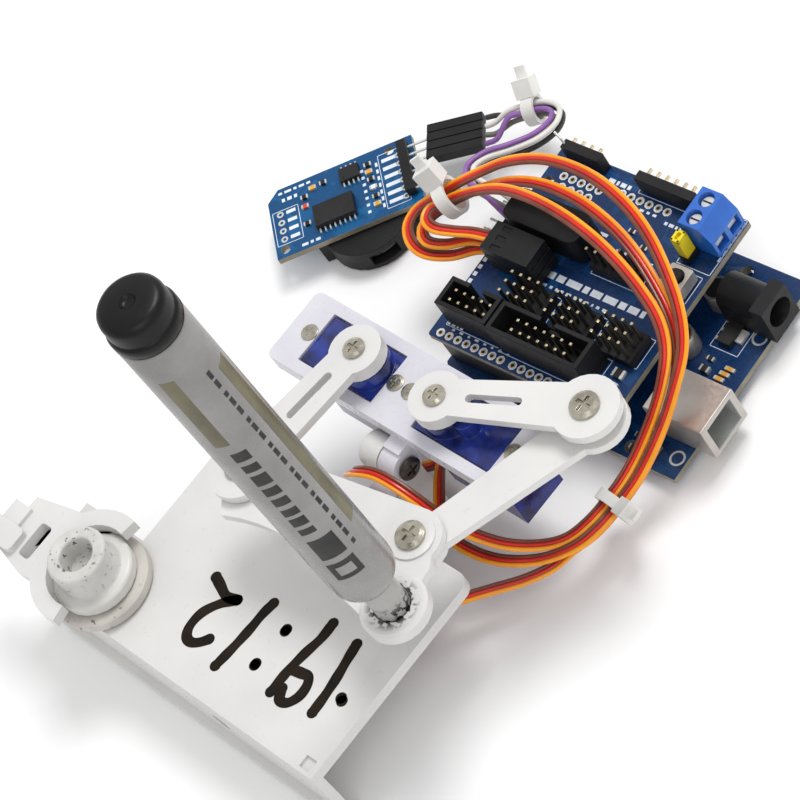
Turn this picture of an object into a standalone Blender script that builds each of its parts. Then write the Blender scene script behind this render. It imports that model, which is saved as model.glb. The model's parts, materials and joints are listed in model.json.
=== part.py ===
"""Desktop SCARA arm that writes the time on a small board.

A white base carries the writing board, an eraser in its clip, a lifting frame with two drawing
servos, a five-bar linkage and a marker. A controller board with a sensor shield and a clock
module lie behind it and are joined to it by three servo leads and four jumper wires.

World frame: +Z up, +X along the board's long edge, -Y towards the board's front edge.
The origin is on the floor, under the middle of the board's rear edge.
Every size below is in millimetres, and a mesh is scaled to metres when its object is made.
"""
import math

import bmesh
import bpy
from mathutils import Matrix, Vector

MM = 0.001
GAP = 0.3                      # clear space kept between neighbouring pieces

# Driving dimensions -------------------------------------------------------------------------
BOARD_LEFT, BOARD_RIGHT = -38.0, 38.5
BOARD_FRONT, BOARD_REAR = -52.5, 1.0
BOARD_TOP, BOARD_THICK = 21.0, 3.0
TONGUE_LEFT, TONGUE_REAR = -58.0, -31.0
SKIRT_THICK = 2.2

LEFT_SHAFT = Vector((-5.0, 25.0, 0.0))
RIGHT_SHAFT = Vector((20.0, 25.0, 0.0))
LEFT_ELBOW = Vector((-9.0, -9.8, 0.0))
RIGHT_ELBOW = Vector((52.0, 39.1, 0.0))
WRIST = Vector((36.5, -2.4, 0.0))
PEN = Vector((44.2, -16.4, 0.0))
HINGE_Y, HINGE_Z = 12.6, 29.2

FRAME_TOP, FRAME_THICK = 37.8, 4.5
LINK_THICK = 2.2
RIGHT_FOREARM_Z = 38.4
LEFT_FOREARM_Z = RIGHT_FOREARM_Z + LINK_THICK + GAP
ARM_Z = LEFT_FOREARM_Z + LINK_THICK + GAP
ARM_TOP = ARM_Z + LINK_THICK

SERVO_LENGTH, SERVO_WIDTH, SERVO_HEIGHT = 22.8, 12.2, 22.7
SERVO_SHAFT_INSET = 5.9
SERVO_EAR_REACH, SERVO_EAR_THICK, SERVO_EAR_DROP = 4.7, 2.5, 4.3
SERVO_HOLE_OFFSET = 2.4
SERVO_BOSS_HEIGHT, SERVO_SPLINE_TOP = 3.8, 6.6
SERVO_TOP = FRAME_TOP - 0.4

LIFT_SHAFT_X, LIFT_SHAFT_Z = 2.0, 9.5
LIFT_CASE_TOP_Y = -2.0         # the lift servo lies on its side with its shaft towards +Y
LIFT_HORN_REACH = 17.0
LIFT_HORN_ANGLE = 56.6

ERASER = Vector((-38.0, -43.8, 0.0))
FELT_RADIUS = 12.0
CLIP_Z, CLIP_THICK = 27.2, 3.0

MARKER_RADIUS = 7.3
MARKER_TIP_Z, MARKER_END_Z = 33.0, 160.4
MARKER_NECK_RADIUS, MARKER_RING_BORE = 3.9, 4.3

BOARD_TILT = 4.0               # degrees that the controller lies turned from the base
CONTROLLER = Vector((15.6, 70.2, 0.0))
CONTROLLER_LENGTH, CONTROLLER_WIDTH = 68.6, 53.4
CONTROLLER_Z = 2.0
SHIELD = Vector((9.1, 72.4, 0.0))
SHIELD_LENGTH, SHIELD_WIDTH = 54.0, 54.0
SHIELD_Z = 14.7
PCB_THICK = 1.6
SHIELD_TOP = SHIELD_Z + PCB_THICK + GAP
PIN_PITCH = 2.54

CLOCK = Vector((-68.0, 64.4, 0.0))
CLOCK_ANGLE = 52.4
CLOCK_LENGTH, CLOCK_WIDTH = 38.0, 20.5
CLOCK_Z = 6.8

LEAD_RADIUS = 1.2
JUMPER_RADIUS = 0.7
LEAD_STEP, JUMPER_STEP = 5.6, 3.8

# Routes of the wiring: points in millimetres, read by a smooth curve --------------------------
# A bundle's centre line carries a fourth number, how far its cords spread sideways there.
LEAD_BUNDLE = [
    (45.6, 20.5, 10.2, 1.0), (47.0, 26.5, 9.4, 1.0), (47.4, 33.4, 9.4, 1.0), (48.4, 41.5, 11.8, 1.05),
    (49.4, 50.5, 17.4, 1.1), (49.4, 58.0, 23.0, 1.1), (47.6, 64.4, 27.2, 1.3), (43.0, 69.4, 30.0, 1.6),
    (36.0, 73.6, 32.2, 2.2), (27.5, 77.4, 33.8, 2.9), (18.0, 80.2, 34.8, 3.4), (7.0, 81.8, 34.8, 3.6),
    (-4.5, 81.6, 33.8, 3.3), (-14.0, 79.4, 31.8, 2.5), (-21.6, 75.6, 29.0, 1.6), (-27.4, 71.6, 26.4, 1.05),
    (-28.8, 69.6, 25.6, 1.0)]
LEAD_SPACING = 1.72            # distance of each lead from the middle of the bundle
LEAD_PLACES = {"lead_left_servo": 150, "lead_right_servo": 30, "lead_lift_servo": 270}
LEAD_STARTS = {
    "lead_left_servo": [
        (1.5, 27.4, 17), (6.2, 27.4, 16.9), (8.0, 25.2, 13.6), (4.6, 20.8, 10.8), (-0.6, 16.4, 10.4),
        (-3.4, 11.0, 15.2), (-2.6, 7.2, 21.4), (0.4, 5.4, 27.2), (4.8, 5.6, 31.2), (10.4, 6.8, 32.8), (16.5, 7.2, 32.4),
        (22, 7.4, 30.0), (26.6, 7.8, 26), (31, 9.2, 21.4), (36.5, 12.0, 16.8), (41, 16.2, 13.2)],
    "lead_right_servo": [
        (13.5, 22.8, 17), (9.4, 22.6, 16.8), (8.9, 19.8, 14.8), (11.4, 15.4, 13), (15.4, 11.2, 12.4),
        (21, 8.2, 12.6), (28, 7.8, 12.8), (35.5, 9.6, 12.4), (42.4, 14.2, 11.4)],
    "lead_lift_servo": [
        (8.4, -22.2, 9.5), (13.2, -21.6, 9.5), (19.2, -17.6, 9.6), (24.8, -10.4, 9.8), (30, -3.6, 9.8),
        (35.4, 3.0, 9.2), (40.6, 9.4, 8.4), (44, 15, 8.2)],
}
LEAD_ENDS = {
    "lead_left_servo": [
        (-29.8, 66.6, 26.4), (-28.9, 63.8, 26.4), (-25.8, 63.0, 26.0), (-21.6, 64.6, 25.3),
        (-17.4, 66.6, 24.8), (-13.1, 67.7, 24.8)],
    "lead_right_servo": [
        (-32.6, 68.4, 25.2), (-34.9, 65.2, 24.0), (-35.0, 61.4, 22.6), (-32.0, 58.8, 21.2),
        (-27.6, 58.6, 20.2), (-22.4, 61.2, 19.4), (-18.0, 65.6, 18.9), (-13.1, 67.7, 18.8)],
    "lead_lift_servo": [
        (-31.0, 66.4, 22.9), (-31.4, 62.8, 22.4), (-28.2, 60.6, 22.2), (-23.4, 62.2, 22.0),
        (-18.6, 66.0, 21.8), (-13.1, 67.7, 21.8)],
}
JUMPER_BUNDLE = [
    (-42.6, 100.2, 10.2, 1.0), (-38.8, 103.4, 10.8, 1.0), (-35.0, 105.6, 11.4, 1.0), (-30.8, 105.4, 12.2, 1.0),
    (-28.4, 101.8, 13.2, 1.0), (-28.8, 96.4, 14.4, 1.0), (-31.4, 91.0, 15.8, 1.0), (-34.6, 86.4, 16.8, 1.0),
    (-35.2, 82.0, 17.6, 1.0), (-31.6, 79.2, 18.8, 1.0), (-26.2, 78.4, 20.0, 1.0)]
JUMPER_SPACING = 1.4
JUMPER_PLACES = {"jumper_black": 225, "jumper_white": 135, "jumper_grey": 315, "jumper_purple": 45}
JUMPER_STARTS = {
    "jumper_black": [(-49.0, 97.6, 9.2), (-46.9, 99.4, 9.1)],
    "jumper_white": [(-47.3, 95.7, 9.2), (-45.3, 97.5, 9.8)],
    "jumper_grey": [(-45.7, 93.8, 9.2), (-43.7, 95.5, 8.9)],
    "jumper_purple": [(-44.0, 91.9, 9.2), (-41.8, 94.2, 9.8)],
}
JUMPER_ENDS = {
    "jumper_black": [(-20.8, 80.4, 19.9), (-15.9, 80.2, 21)],
    "jumper_white": [(-20.6, 79.0, 21.8), (-15.8, 78.5, 21)],
    "jumper_grey": [(-20.4, 77.0, 19.9), (-15.7, 76.7, 21)],
    "jumper_purple": [(-20.0, 75.8, 21.8), (-15.6, 74.9, 21)],
}
# Each cable tie: the middle of its band, the direction of the bundle and the side of its head
SERVO_TIE = ((-27.9, 71.0, 26.1), (-0.62, -0.71, -0.33), (-0.55, 0.05, 0.83))
BUNDLE_TIE = ((47.4, 33.4, 9.4), (0.05, 0.98, 0.12), (0.90, 0.0, 0.43))
JUMPER_TIE = ((-38.0, 104.0, 10.9), (0.79, 0.58, 0.14), (-0.35, 0.55, 0.75))


# Building helpers ---------------------------------------------------------------------------
def clear_scene():
    for existing in list(bpy.data.objects):
        bpy.data.objects.remove(existing, do_unlink=True)


def material(name, colour, roughness, metallic=0.0):
    made = bpy.data.materials.new(name)
    made.use_nodes = True
    shader = made.node_tree.nodes["Principled BSDF"]
    shader.inputs["Base Color"].default_value = (*colour, 1.0)
    shader.inputs["Roughness"].default_value = roughness
    shader.inputs["Metallic"].default_value = metallic
    made.diffuse_color = (*colour, 1.0)
    return made


def arc(centre, radius, start, end, steps):
    """Points on an arc from start to end degrees, both ends included."""
    points = []
    for i in range(steps + 1):
        angle = math.radians(start + (end - start) * i / steps)
        points.append((centre[0] + radius * math.cos(angle), centre[1] + radius * math.sin(angle)))
    return points


def circle(centre, radius, sides):
    return arc(centre, radius, 0, 360, sides)[:-1]


def rounded_rectangle(x0, y0, x1, y1, radius, steps=4):
    corners = [(x1 - radius, y1 - radius, 0), (x0 + radius, y1 - radius, 90),
               (x0 + radius, y0 + radius, 180), (x1 - radius, y0 + radius, 270)]
    points = []
    for cx, cy, start in corners:
        points += arc((cx, cy), radius, start, start + 90, steps)
    return points


def prism(outline, z0, z1):
    """Solid between two heights with the given anticlockwise outline."""
    mesh = bmesh.new()
    bottom = [mesh.verts.new((x, y, z0)) for x, y in outline]
    top = [mesh.verts.new((x, y, z1)) for x, y in outline]
    mesh.faces.new(bottom[::-1])
    mesh.faces.new(top)
    count = len(outline)
    for i in range(count):
        j = (i + 1) % count
        mesh.faces.new((bottom[i], bottom[j], top[j], top[i]))
    return mesh


def box(x0, y0, z0, x1, y1, z1):
    return prism([(x0, y0), (x1, y0), (x1, y1), (x0, y1)], z0, z1)


def cylinder(centre, radius, z0, z1, sides=24):
    return prism(circle(centre, radius, sides), z0, z1)


def lathe(profile, centre=(0.0, 0.0), sides=32):
    """Solid of revolution about Z. The profile runs from the axis at the bottom to the axis at
    the top, as (radius, height) pairs."""
    mesh = bmesh.new()
    rings = []
    for radius, height in profile:
        if radius == 0:
            rings.append([mesh.verts.new((centre[0], centre[1], height))])
        else:
            rings.append([mesh.verts.new((x, y, height)) for x, y in circle(centre, radius, sides)])
    for lower, upper in zip(rings, rings[1:]):
        for i in range(sides):
            j = (i + 1) % sides
            corners = [lower[i % len(lower)], lower[j % len(lower)],
                       upper[j % len(upper)], upper[i % len(upper)]]
            mesh.faces.new(list(dict.fromkeys(corners)))
    return mesh


def tube_ring(inner, outer, z0, z1, sides=24):
    """Plain ring about Z with a square section."""
    return cut(cylinder((0, 0), outer, z0, z1, sides), [cylinder((0, 0), inner, z0 - 1, z1 + 1, sides)])


def transformed(mesh, matrix):
    bmesh.ops.transform(mesh, matrix=matrix, verts=mesh.verts)
    if matrix.determinant() < 0:
        bmesh.ops.reverse_faces(mesh, faces=mesh.faces)
    return mesh


def turned(mesh, angle, axis, centre=(0, 0, 0)):
    to_centre = Matrix.Translation(Vector(centre))
    turn = Matrix.Rotation(math.radians(angle), 4, axis)
    return transformed(mesh, to_centre @ turn @ to_centre.inverted())


def moved(mesh, offset):
    return transformed(mesh, Matrix.Translation(Vector(offset)))


def stand_in_object(mesh, name):
    data = bpy.data.meshes.new(name)
    mesh.to_mesh(data)
    mesh.free()
    made = bpy.data.objects.new(name, data)
    bpy.context.collection.objects.link(made)
    return made


def combined(mesh, tools, operation):
    """The mesh after a Boolean with each tool in turn."""
    target = stand_in_object(mesh, "boolean_target")
    helpers = []
    for index, tool in enumerate(tools):
        helper = stand_in_object(tool, f"boolean_tool_{index}")
        modifier = target.modifiers.new(f"step_{index}", "BOOLEAN")
        modifier.operation = operation
        modifier.solver = "EXACT"
        modifier.object = helper
        helpers.append(helper)
    graph = bpy.context.evaluated_depsgraph_get()
    result = bmesh.new()
    result.from_object(target, graph)
    for used in [target, *helpers]:
        data = used.data
        bpy.data.objects.remove(used, do_unlink=True)
        bpy.data.meshes.remove(data)
    bmesh.ops.remove_doubles(result, verts=result.verts, dist=0.002)
    return result


def cut(mesh, tools):
    return combined(mesh, tools, "DIFFERENCE")


def joined(mesh, tools):
    return combined(mesh, tools, "UNION")


def axis_empty(name, location, parent=None, angle=0.0):
    """An empty that stands on a joint's axis, or at the middle of a circuit board."""
    made = bpy.data.objects.new(name, None)
    bpy.context.collection.objects.link(made)
    place = Vector(location)
    made["place"] = [*place]
    made.empty_display_size = 0.01
    start = Vector(parent["place"]) if parent else Vector((0, 0, 0))
    made.parent = parent
    made.location = (place - start) * MM
    made.rotation_euler.z = math.radians(angle)
    return made


def piece(name, mesh, finish, parent=None, own_frame=False):
    """Make the object. The mesh is given in world millimetres, or in its parent's own frame."""
    if parent and not own_frame:
        moved(mesh, -Vector(parent["place"]))
    transformed(mesh, Matrix.Scale(MM, 4))
    bmesh.ops.recalc_face_normals(mesh, faces=mesh.faces)
    data = bpy.data.meshes.new(name)
    mesh.to_mesh(data)
    mesh.free()
    data.materials.append(finish)
    data.shade_smooth()
    data.set_sharp_from_angle(angle=math.radians(35))
    made = bpy.data.objects.new(name, data)
    bpy.context.collection.objects.link(made)
    made.parent = parent
    return made


def screw(centre, head_radius, head_z, head_height, shank_radius, shank_z, sides=20):
    """Pan-head screw along Z with a cross recess in its head."""
    top = head_z + head_height
    profile = [(0, shank_z), (shank_radius, shank_z), (shank_radius, head_z), (head_radius, head_z),
               (head_radius, head_z + 0.55 * head_height), (0.72 * head_radius, top), (0, top)]
    solid = lathe(profile, centre, sides)
    reach, half = 0.55 * head_radius, 0.11 * head_radius
    x, y = centre[0], centre[1]
    low = top - 0.6 * head_height
    slots = [box(x - reach, y - half, low, x + reach, y + half, top + 1),
             box(x - half, y - reach, low, x + half, y + reach, top + 1)]
    return cut(solid, slots)


def smooth_route(points, step):
    """Catmull-Rom curve through the points, read at even steps along its length."""
    route = [Vector(p) for p in points]
    padded = [2 * route[0] - route[1], *route, 2 * route[-1] - route[-2]]
    fine = []
    for a, b, c, d in zip(padded, padded[1:], padded[2:], padded[3:]):
        for i in range(24):
            t = i / 24
            fine.append(0.5 * (2 * b + (c - a) * t + (2 * a - 5 * b + 4 * c - d) * t ** 2
                               + (3 * b - 3 * c + d - a) * t ** 3))
    fine.append(route[-1])
    lengths = [0.0]
    for p, q in zip(fine, fine[1:]):
        lengths.append(lengths[-1] + (q - p).length)
    count = max(2, round(lengths[-1] / step))
    even, index = [], 0
    for i in range(count + 1):
        wanted = lengths[-1] * i / count
        while index < len(fine) - 2 and lengths[index + 1] < wanted:
            index += 1
        span = lengths[index + 1] - lengths[index]
        share = (wanted - lengths[index]) / span if span else 0.0
        even.append(fine[index].lerp(fine[index + 1], min(1.0, share)))
    return even


def beside(centre_line, angle, spacing):
    """Points of one cord in a bundle, at its own angle round the bundle's centre line."""
    centres = [Vector(entry[:3]) for entry in centre_line]
    points = []
    for index, entry in enumerate(centre_line):
        before, after = centres[max(0, index - 1)], centres[min(len(centres) - 1, index + 1)]
        along = (after - before).normalized()
        side = along.cross(Vector((0, 0, 1))).normalized()
        up = side.cross(along)
        turn = math.radians(angle)
        points.append(centres[index] + side * spacing * entry[3] * math.cos(turn) + up * spacing * math.sin(turn))
    return points


def cord(name, points, radius, step, finish):
    route = smooth_route(points, step)
    curve = bpy.data.curves.new(name, "CURVE")
    curve.dimensions = "3D"
    curve.bevel_depth = radius * MM
    curve.bevel_resolution = 2
    curve.use_fill_caps = True
    spline = curve.splines.new("POLY")
    spline.points.add(len(route) - 1)
    for point, place in zip(spline.points, route):
        point.co = (*(place * MM), 1.0)
    curve.materials.append(finish)
    made = bpy.data.objects.new(name, curve)
    bpy.context.collection.objects.link(made)
    return made


# Base, eraser and hinge ---------------------------------------------------------------------
def board_base(finish):
    """Writing board, its tongue under the eraser, the front skirt and the left end wall."""
    outline = [(TONGUE_LEFT, BOARD_FRONT), (BOARD_RIGHT, BOARD_FRONT)]
    outline += arc((BOARD_RIGHT - 3, BOARD_REAR - 3), 3, 0, 90, 5)
    outline += [(BOARD_LEFT, BOARD_REAR), (BOARD_LEFT, TONGUE_REAR), (TONGUE_LEFT, TONGUE_REAR)]
    plate = prism(outline, BOARD_TOP - BOARD_THICK, BOARD_TOP)
    skirt_back = BOARD_FRONT + SKIRT_THICK
    skirt = box(TONGUE_LEFT, BOARD_FRONT, 0, BOARD_RIGHT, skirt_back, BOARD_TOP - 1)
    flange = box(TONGUE_LEFT - 0.2, BOARD_FRONT - 1.8, 0, BOARD_RIGHT, skirt_back, 2.2)
    end_wall = box(TONGUE_LEFT, BOARD_FRONT, 0, TONGUE_LEFT + SKIRT_THICK, TONGUE_REAR - 4, BOARD_TOP - 1)
    foot = box(TONGUE_LEFT, BOARD_FRONT, 0, TONGUE_LEFT + 9, TONGUE_REAR - 4, 1.6)
    solid = joined(plate, [skirt, flange, end_wall, foot])
    screw_hole = turned(cylinder((0, 0), 2.4, -6, 6, 20), 90, "X")
    corner_hole = box(BOARD_RIGHT - 4.6, BOARD_FRONT + 1.0, BOARD_TOP - 0.8,
                      BOARD_RIGHT - 1.6, BOARD_FRONT + 3.8, BOARD_TOP + 1)
    dimple = cylinder((BOARD_RIGHT - 10.5, BOARD_REAR - 3.4), 0.8, BOARD_TOP - 0.8, BOARD_TOP + 1, 12)
    holes = [moved(screw_hole, (2.0, BOARD_FRONT + 1, 9.5)), corner_hole, dimple]
    return piece("board_base", cut(solid, holes), finish)


def skirt_screw(finish):
    """Screw that lies in the skirt's round hole, its head facing -Y."""
    made = screw((0, 0), 1.9, 0.6, 1.0, 1.1, -4.0, 16)
    turned(made, 90, "X")
    return piece("skirt_screw", moved(made, (2.0, BOARD_FRONT + 1.8, 9.5)), finish)


def rear_stand(finish):
    """Floor plate, the wall under the board that holds the lift servo, and the hinge upright."""
    floor = prism(rounded_rectangle(-12, -6, 10, 27, 2), 0, 3)
    wall = box(-20.5, -6, 0, 13.5, -3.5, BOARD_TOP - BOARD_THICK - GAP)
    upright = box(2.5, HINGE_Y - 4.2, 1, 8.0, HINGE_Y + 4.2, HINGE_Z)
    head = turned(cylinder((0, 0), 4.2, 0, 5.5, 28), 90, "Y")
    moved(head, (2.5, HINGE_Y, HINGE_Z))
    solid = joined(wall, [floor, upright, head])
    window = box(LIFT_SHAFT_X - SERVO_LENGTH + SERVO_SHAFT_INSET - GAP, -8, LIFT_SHAFT_Z - 6.4,
                 LIFT_SHAFT_X + SERVO_SHAFT_INSET + GAP, -1, LIFT_SHAFT_Z + 6.4)
    bore = turned(cylinder((0, 0), 1.7, -2, 12, 20), 90, "Y")
    return piece("rear_stand", cut(solid, [window, moved(bore, (0, HINGE_Y, HINGE_Z))]), finish)


def hinge_screw(finish):
    made = screw((0, 0), 2.8, 13.8, 1.2, 1.35, 3.0, 20)
    turned(made, 90, "Y")
    return piece("hinge_screw", moved(made, (0, HINGE_Y, HINGE_Z)), finish)


def eraser_clip(finish):
    """C-shaped clip open towards +X, its tail bar and the wall that hangs on the base's end."""
    x, y = ERASER.x, ERASER.y
    inner, outer = 10.2, 14.2
    outline = arc((x, y), outer, 80, 140, 7)
    outline += [(-62.4, -37.4), (-62.4, -51.4), (-52.5, -53.6)]
    outline += arc((x, y), outer, 222, 280, 7)
    outline += arc((x, y), inner, 280, 80, 18)
    ring = prism(outline, CLIP_Z, CLIP_Z + CLIP_THICK)
    wall_right = TONGUE_LEFT - 0.2 - GAP
    wall = box(wall_right - 3.6, -51.4, 4, wall_right, -37.4, CLIP_Z + 1)
    rib = box(wall_right - 1, -51.4, BOARD_TOP + GAP, wall_right + 4, -38.4, CLIP_Z + 1)
    bar = prism(rounded_rectangle(-76, -51.4, -57, -45.4, 1.2, 2), CLIP_Z + 0.6, CLIP_Z + 5)
    step = box(-66, -45.8, CLIP_Z + 0.6, -60.5, -40.5, CLIP_Z + 4)
    window = prism(rounded_rectangle(-56.2, -50.2, -52.6, -41.4, 0.8, 2), CLIP_Z - 1, CLIP_Z + 4)
    solid = cut(joined(ring, [wall, rib, bar, step]), [window])
    return piece("eraser_clip", solid, finish)


def eraser(felt_finish, cap_finish, parent):
    centre = (ERASER.x, ERASER.y)
    felt_low = BOARD_TOP + GAP
    felt = lathe([(0, felt_low), (FELT_RADIUS - 0.5, felt_low), (FELT_RADIUS, felt_low + 0.6),
                  (FELT_RADIUS, felt_low + 2.6), (FELT_RADIUS - 0.6, felt_low + 3.1),
                  (0, felt_low + 3.1)], centre, 24)
    piece("eraser_felt", felt, felt_finish, parent)
    low = felt_low + 3.1 + GAP
    cap = lathe([(0, low), (9.4, low), (9.7, low + 0.4), (9.7, low + 2.6), (9.2, low + 3.2), (7.6, low + 3.4),
                 (7.2, low + 4.2), (7.2, 35.2), (6.7, 35.7), (4.4, 35.7), (4.0, 35.2), (4.0, 29.8),
                 (0, 29.8)], centre, 24)
    piece("eraser_cap", cap, cap_finish, parent)


# Servos and lifting frame -------------------------------------------------------------------
def servo_shape(direction):
    """Micro servo with its shaft on the Z axis and its case top at height 0. The case reaches
    further towards -X for direction 1 and towards +X for direction -1."""
    near, far = SERVO_SHAFT_INSET, SERVO_SHAFT_INSET - SERVO_LENGTH
    half = SERVO_WIDTH / 2
    case = box(far, -half, -SERVO_HEIGHT, near, half, 0)
    ears = box(far - SERVO_EAR_REACH, -half, -SERVO_EAR_DROP - SERVO_EAR_THICK,
               near + SERVO_EAR_REACH, half, -SERVO_EAR_DROP)
    boss = cylinder((0, 0), 5.8, -1, SERVO_BOSS_HEIGHT, 24)
    idler = cylinder((-6.2, 0), 2.7, -1, SERVO_BOSS_HEIGHT, 14)
    shaft = cylinder((0, 0), 2.3, 1, SERVO_SPLINE_TOP, 14)
    solid = joined(case, [ears, boss, idler, shaft])
    holes = []
    for x in (near + SERVO_HOLE_OFFSET, far - SERVO_HOLE_OFFSET):
        holes.append(cylinder((x, 0), 1.1, -9, -2, 10))
    shaft_hole = cylinder((0, 0), 1.1, SERVO_SPLINE_TOP - 3.0, SERVO_SPLINE_TOP + 1, 12)
    solid = cut(solid, [*holes, shaft_hole])
    if direction < 0:
        solid = turned(solid, 180, "Z")
    return solid


def frame_plate(finish, parent):
    """Plate with a window for each drawing servo, the hinge knuckle and the lifting finger."""
    low = FRAME_TOP - FRAME_THICK
    plate = prism(rounded_rectangle(-30.2, 15.7, 44.5, 34.3, 1.9), low, FRAME_TOP)
    web = box(8.3, HINGE_Y, HINGE_Z - 1.5, 13.4, 18.4, low + 1)
    knuckle = turned(cylinder((0, 0), 4.2, 8.3, 13.4, 28), 90, "Y")
    moved(knuckle, (0, HINGE_Y, HINGE_Z))
    finger = box(8.3, 1.8, 25.9, 13.4, HINGE_Y, 28.6)
    solid = joined(plate, [web, knuckle, finger])
    bore = turned(cylinder((0, 0), 1.7, 6, 16, 20), 90, "Y")
    tools = [moved(bore, (0, HINGE_Y, HINGE_Z))]
    for shaft, direction in ((LEFT_SHAFT, 1), (RIGHT_SHAFT, -1)):
        ends = sorted((shaft.x + direction * SERVO_SHAFT_INSET,
                       shaft.x + direction * (SERVO_SHAFT_INSET - SERVO_LENGTH)))
        half = SERVO_WIDTH / 2 + GAP
        tools.append(box(ends[0] - GAP, shaft.y - half, low - 1, ends[1] + GAP, shaft.y + half, FRAME_TOP + 1))
    for x, y in ear_screw_places():
        tools.append(cylinder((x, y), 1.3, low - 1, FRAME_TOP + 1, 12))
    return piece("frame_plate", cut(solid, tools), finish, parent)


def ear_screw_places():
    reach = SERVO_SHAFT_INSET + SERVO_HOLE_OFFSET
    far = SERVO_SHAFT_INSET - SERVO_LENGTH - SERVO_HOLE_OFFSET
    return [(LEFT_SHAFT.x + far, LEFT_SHAFT.y), (LEFT_SHAFT.x + reach, LEFT_SHAFT.y),
            (RIGHT_SHAFT.x - reach - 3.8, RIGHT_SHAFT.y), (RIGHT_SHAFT.x - far, RIGHT_SHAFT.y)]


def drawing_servos(finish, screw_finish, parent):
    for name, shaft, direction in (("left_servo", LEFT_SHAFT, 1), ("right_servo", RIGHT_SHAFT, -1)):
        piece(name, moved(servo_shape(direction), (shaft.x, shaft.y, SERVO_TOP)), finish, parent)
    for index, place in enumerate(ear_screw_places(), 1):
        made = screw(place, 2.1, FRAME_TOP + 0.1, 0.3, 0.85, 31.5, 12)
        piece(f"ear_screw_{index}", made, screw_finish, parent)


def lift_servo(finish):
    solid = turned(servo_shape(1), -90, "X")
    return piece("lift_servo", moved(solid, (LIFT_SHAFT_X, LIFT_CASE_TOP_Y, LIFT_SHAFT_Z)), finish)


def lift_horn(finish, parent):
    """Servo horn whose round tip lies just under the frame's lifting finger."""
    outline = arc((0, 0), 3.6, 42, 318, 16) + arc((LIFT_HORN_REACH, 0), 1.6, -84, 84, 8)
    solid = prism(outline, 0, 2.0)
    holes = [cylinder((0, 0), 2.3 + GAP, -1, 3, 20)]
    for index in range(3):
        holes.append(cylinder((7 + 3.4 * index, 0), 0.5, -1, 3, 8))
    solid = turned(cut(solid, holes), LIFT_HORN_ANGLE, "Z")
    solid = turned(solid, 90, "X")
    return piece("lift_horn", moved(solid, (LIFT_SHAFT_X, 4.2, LIFT_SHAFT_Z)), finish, parent)


# Five-bar linkage and marker ----------------------------------------------------------------
def link_bar(start, end, start_width, end_width, z0, z1):
    """Straight tapered bar between two pivots."""
    along = (end - start).normalized()
    across = Vector((-along.y, along.x, 0))
    a, b = across * start_width / 2, across * end_width / 2
    corners = [start - a, end - b, end + b, start + a]
    return prism([(p.x, p.y) for p in corners], z0, z1)


def servo_arm(name, shaft, elbow, finish, parent):
    """Slotted arm with a round hub on the servo and a larger round end at the elbow."""
    along = (elbow - shaft).normalized()
    hub = cylinder(shaft, 6.2, ARM_Z - 1.3, ARM_TOP, 24)
    bar = link_bar(shaft, elbow, 8.4, 11.0, ARM_Z, ARM_TOP)
    end = cylinder(elbow, 7.6, ARM_Z, ARM_TOP, 26)
    solid = joined(hub, [bar, end])
    slot_start, slot_end = shaft + along * 8.2, shaft + along * 19.5
    slot = link_bar(slot_start, slot_end, 2.0, 2.0, ARM_Z - 2, ARM_TOP + 1)
    tools = [slot, cylinder(shaft, 2.3 + GAP, ARM_Z - 2, ARM_TOP - 0.5, 20),
             cylinder(shaft, 1.4, ARM_Z, ARM_TOP + 1, 16),
             cylinder(elbow, 1.8, ARM_Z - 1, ARM_TOP + 1, 20)]
    for place in (slot_start, slot_end):
        tools.append(cylinder(place, 1.0, ARM_Z - 2, ARM_TOP + 1, 12))
    return piece(name, cut(solid, tools), finish, parent)


def right_forearm(finish, parent):
    low, high = RIGHT_FOREARM_Z, RIGHT_FOREARM_Z + LINK_THICK
    end = cylinder(RIGHT_ELBOW, 7.4, low, high, 26)
    bar = link_bar(RIGHT_ELBOW, WRIST, 10.5, 8.6, low, high)
    wrist = cylinder(WRIST, 6.6, low, high, 24)
    spacer = cylinder(RIGHT_ELBOW, 4.6, low, ARM_Z - GAP, 20)
    solid = joined(end, [bar, wrist, spacer])
    tools = [cylinder(RIGHT_ELBOW, 1.8, low - 1, ARM_Z + 1, 20), cylinder(WRIST, 2.4, low - 1, high + 1, 24)]
    return piece("right_forearm", cut(solid, tools), finish, parent)


def left_forearm(finish, parent):
    """Three-cornered plate from the left elbow over the wrist pivot to the marker's ring."""
    low, high = LEFT_FOREARM_Z, LEFT_FOREARM_Z + LINK_THICK
    outline = arc(LEFT_ELBOW, 6.4, 98, 258, 10)
    outline += arc((12.0, -66.5), 50.0, 112, 66, 8)
    outline += arc(PEN, 7.5, 225, 390, 8)
    outline += arc((51.6, -6.4), 6.6, 235, 176, 5)
    outline += arc(WRIST, 6.8, -8, 100, 8)
    plate = prism(outline, low, high)
    collar = lathe([(0, low - 0.6), (6.9, low - 0.6), (7.6, low + 0.2), (7.6, high + 0.6), (6.9, high + 1.3),
                    (0, high + 1.3)], PEN, 28)
    boss = cylinder(WRIST, 5.4, low, high + 0.5, 24)
    solid = joined(plate, [collar, boss])
    tools = [cylinder(LEFT_ELBOW, 1.8, low - 1, high + 1, 20), cylinder(WRIST, 1.8, low - 1, high + 1, 20),
             cylinder(PEN, MARKER_RING_BORE, low - 8, high + 3, 24)]
    return piece("left_forearm", cut(solid, tools), finish, parent)


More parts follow.
